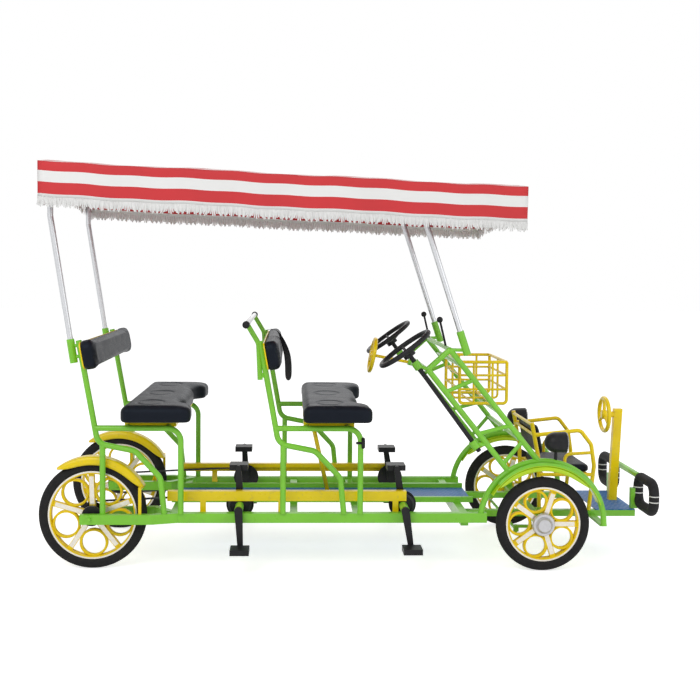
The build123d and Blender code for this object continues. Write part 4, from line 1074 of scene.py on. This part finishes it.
def build_stage(settings):
    """Pale floor, white surround, soft lamps and the camera."""
    scene = bpy.context.scene
    scene.view_settings.view_transform = "Standard"
    world = bpy.data.worlds.new("white_studio")
    world.use_nodes = True
    tree = world.node_tree
    sky = tree.nodes["Background"]
    strength = open_rays(tree) * (1.0 - settings.sky_light) + settings.sky_light
    sky.inputs["Color"].default_value = (1, 1, 1, 1)
    tree.links.new(strength.socket, sky.inputs["Strength"])
    scene.world = world
    ground = Finish("pale_floor", Roughness=0.9, Specular_IOR_Level=0.05)
    ground.set(Base_Color=ground.mix(ground.noise(0.6), rgba(settings.floor, 0.985), rgba(settings.floor)),
               Emission_Color=ground.mix(open_rays(ground.tree), (0, 0, 0, 1), (1, 1, 1, 1)),
               Emission_Strength=settings.floor_lift)
    corners = FLOOR_HALF * np.array([(-1, -1, 0), (1, -1, 0), (1, 1, 0), (-1, 1, 0)], dtype=float)
    floor = mesh_piece("floor", corners, [(0, 1, 2, 3)], ground.material)
    for name, place, size, share in LAMPS:
        area_lamp(name, place, LAMP_AIM, size, settings.key_power * share)
    build_camera(settings)


def colour_prop(name, description, default):
    """A colour property in linear values."""
    return FloatVectorProperty(name=name, description=description, default=default, subtype="COLOR", size=3,
                               min=0, max=1)


def number_prop(name, description, default, **more):
    """A plain number property."""
    return FloatProperty(name=name, description=description, default=default, **more)


def length_prop(name, description, default):
    """A length property in metres."""
    return number_prop(name, description, default, unit="LENGTH", min=0)


class QuadCanopySettings(bpy.types.PropertyGroup):
    """Sizes and colours of the canopy."""

    stripes: IntProperty(name="Red stripes", description="Red stripes from one side's hem to the other's",
                         default=15)
    red_share: number_prop("Red share", "Share of a stripe pair that is red", 0.515)
    hem: length_prop("Hem", "White edge below the lowest red stripe", 0.014)
    red: colour_prop("Red", "Red of the stripes", (0.62, 0.036, 0.042))
    white: colour_prop("White", "White of the stripes and the fringe", (0.86, 0.86, 0.85))
    sag: length_prop("Sag", "How far the cloth sags between two bows", 0.010)
    crown: length_prop("Crown", "Rise of the top above its long edges", 0.042)
    valance: length_prop("Valance", "Depth of the hanging cloth", 0.158)
    sway: length_prop("Sway", "How far the hem waves in and out", 0.006)
    yarn_pitch: length_prop("Yarn pitch", "Distance between two tufts of the fringe", 0.0065)
    fringe: length_prop("Fringe", "Length of the fringe", 0.047)


class QuadPaintSettings(bpy.types.PropertyGroup):
    """Colours of the frame and the seats."""

    green: colour_prop("Green", "Frame paint", (0.215, 0.60, 0.040))
    lime: colour_prop("Lime", "Front mudguards", (0.50, 0.72, 0.015))
    yellow: colour_prop("Yellow", "Wheels, plates and basket", (0.93, 0.66, 0.002))
    blue: colour_prop("Blue", "Walkway and platform", (0.026, 0.156, 0.485))
    vinyl: colour_prop("Vinyl", "Covers of the seats", (0.009, 0.010, 0.014))
    swell: length_prop("Swell", "How far a seat pad may swell", 0.010)


class QuadStageSettings(bpy.types.PropertyGroup):
    """Floor, light and camera."""

    floor: colour_prop("Floor", "Colour of the floor", (0.90, 0.90, 0.90))
    floor_lift: number_prop("Floor lift", "Glow that keeps the floor pale", 0.62)
    sky_light: number_prop("Sky light", "Strength of the white surround as light", 0.55)
    key_power: number_prop("Key power", "Power of the main lamp", 120.0, unit="POWER")
    focal_px: number_prop("Focal length", "Focal length in pixels of the frame", 1020.4)
    centre_px: FloatVectorProperty(name="Centre", default=(325.0, 310.0), size=2,
                                   description="Where the line of sight meets the frame, in pixels")
    camera_place: FloatVectorProperty(name="Camera", description="Place of the camera",
                                      default=(-0.280, -5.175, 1.414), size=3, subtype="XYZ", unit="LENGTH")
    camera_turn: FloatVectorProperty(name="Turn", description="Yaw to +X, pitch down and roll in degrees",
                                     default=(1.81, 2.27, 0.40), size=3)


class QUAD_OT_paint(bpy.types.Operator):
    """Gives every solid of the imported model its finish"""

    bl_idname = "quad.paint"
    bl_label = "Paint frame and wheels"

    def execute(self, context):
        paint_nodes(context.scene.quad_paint)
        return {"FINISHED"}


class QUAD_OT_canopy(bpy.types.Operator):
    """Makes the striped canopy sheet and its fringe"""

    bl_idname = "quad.canopy"
    bl_label = "Canopy"

    def execute(self, context):
        build_canopy(context.scene.quad_canopy)
        return {"FINISHED"}


class QUAD_OT_benches(bpy.types.Operator):
    """Makes the two bench cushions"""

    bl_idname = "quad.benches"
    bl_label = "Bench cushions"

    def execute(self, context):
        build_benches(context.scene.quad_paint)
        return {"FINISHED"}


class QUAD_OT_backrests(bpy.types.Operator):
    """Makes the backrest pads and the pads of the child's seat"""

    bl_idname = "quad.backrests"
    bl_label = "Backrests and child's pads"

    def execute(self, context):
        build_backrests(context.scene.quad_paint)
        return {"FINISHED"}


class QUAD_OT_basket(bpy.types.Operator):
    """Makes the basket of bent rods"""

    bl_idname = "quad.basket"
    bl_label = "Basket"

    def execute(self, context):
        build_basket(context.scene.quad_paint)
        return {"FINISHED"}


class QUAD_OT_guards(bpy.types.Operator):
    """Makes the crowned shells of the mudguards"""

    bl_idname = "quad.guards"
    bl_label = "Mudguards"

    def execute(self, context):
        build_guards(context.scene.quad_paint)
        return {"FINISHED"}


class QUAD_OT_wheels(bpy.types.Operator):
    """Makes the collars of the cast wheels"""

    bl_idname = "quad.wheels"
    bl_label = "Wheel collars"

    def execute(self, context):
        build_wheel_rings()
        return {"FINISHED"}


class QUAD_OT_trim(bpy.types.Operator):
    """Makes the grips, straps and other small pieces"""

    bl_idname = "quad.trim"
    bl_label = "Small trim"

    def execute(self, context):
        build_trim()
        build_strut(context.scene.quad_paint)
        build_small_wheels(context.scene.quad_paint)
        return {"FINISHED"}


class QUAD_OT_stage(bpy.types.Operator):
    """Sets up the floor, the light and the camera"""

    bl_idname = "quad.stage"
    bl_label = "Stage"

    def execute(self, context):
        build_stage(context.scene.quad_stage)
        return {"FINISHED"}


STEPS = (QUAD_OT_paint, QUAD_OT_canopy, QUAD_OT_benches, QUAD_OT_backrests, QUAD_OT_basket, QUAD_OT_guards,
         QUAD_OT_wheels, QUAD_OT_trim, QUAD_OT_stage)


class QUAD_PT_panel(bpy.types.Panel):
    """Lists the settings and the steps in the sidebar"""

    bl_idname = "QUAD_PT_panel"
    bl_label = "Pedal quadricycle"
    bl_space_type = "VIEW_3D"
    bl_region_type = "UI"
    bl_category = "Quadricycle"

    def draw(self, context):
        for group in (context.scene.quad_canopy, context.scene.quad_paint, context.scene.quad_stage):
            box = self.layout.box()
            for name in group.__annotations__:
                box.prop(group, name)
        for step in STEPS:
            self.layout.operator(step.bl_idname)


GROUPS = {"quad_canopy": QuadCanopySettings, "quad_paint": QuadPaintSettings, "quad_stage": QuadStageSettings}


def register():
    """Registers the settings, the steps and the panel."""
    for name, group in GROUPS.items():
        bpy.utils.register_class(group)
        setattr(bpy.types.Scene, name, PointerProperty(type=group))
    for kind in (*STEPS, QUAD_PT_panel):
        bpy.utils.register_class(kind)


def unregister():
    """Takes everything out again, last first."""
    for kind in (QUAD_PT_panel, *reversed(STEPS)):
        bpy.utils.unregister_class(kind)
    for name, group in GROUPS.items():
        delattr(bpy.types.Scene, name)
        bpy.utils.unregister_class(group)


def main():
    """Runs every step."""
    register()
    bpy.ops.quad.paint()
    bpy.ops.quad.canopy()
    bpy.ops.quad.benches()
    bpy.ops.quad.backrests()
    bpy.ops.quad.basket()
    bpy.ops.quad.guards()
    bpy.ops.quad.wheels()
    bpy.ops.quad.trim()
    bpy.ops.quad.stage()


if __name__ == "__main__":
    main()
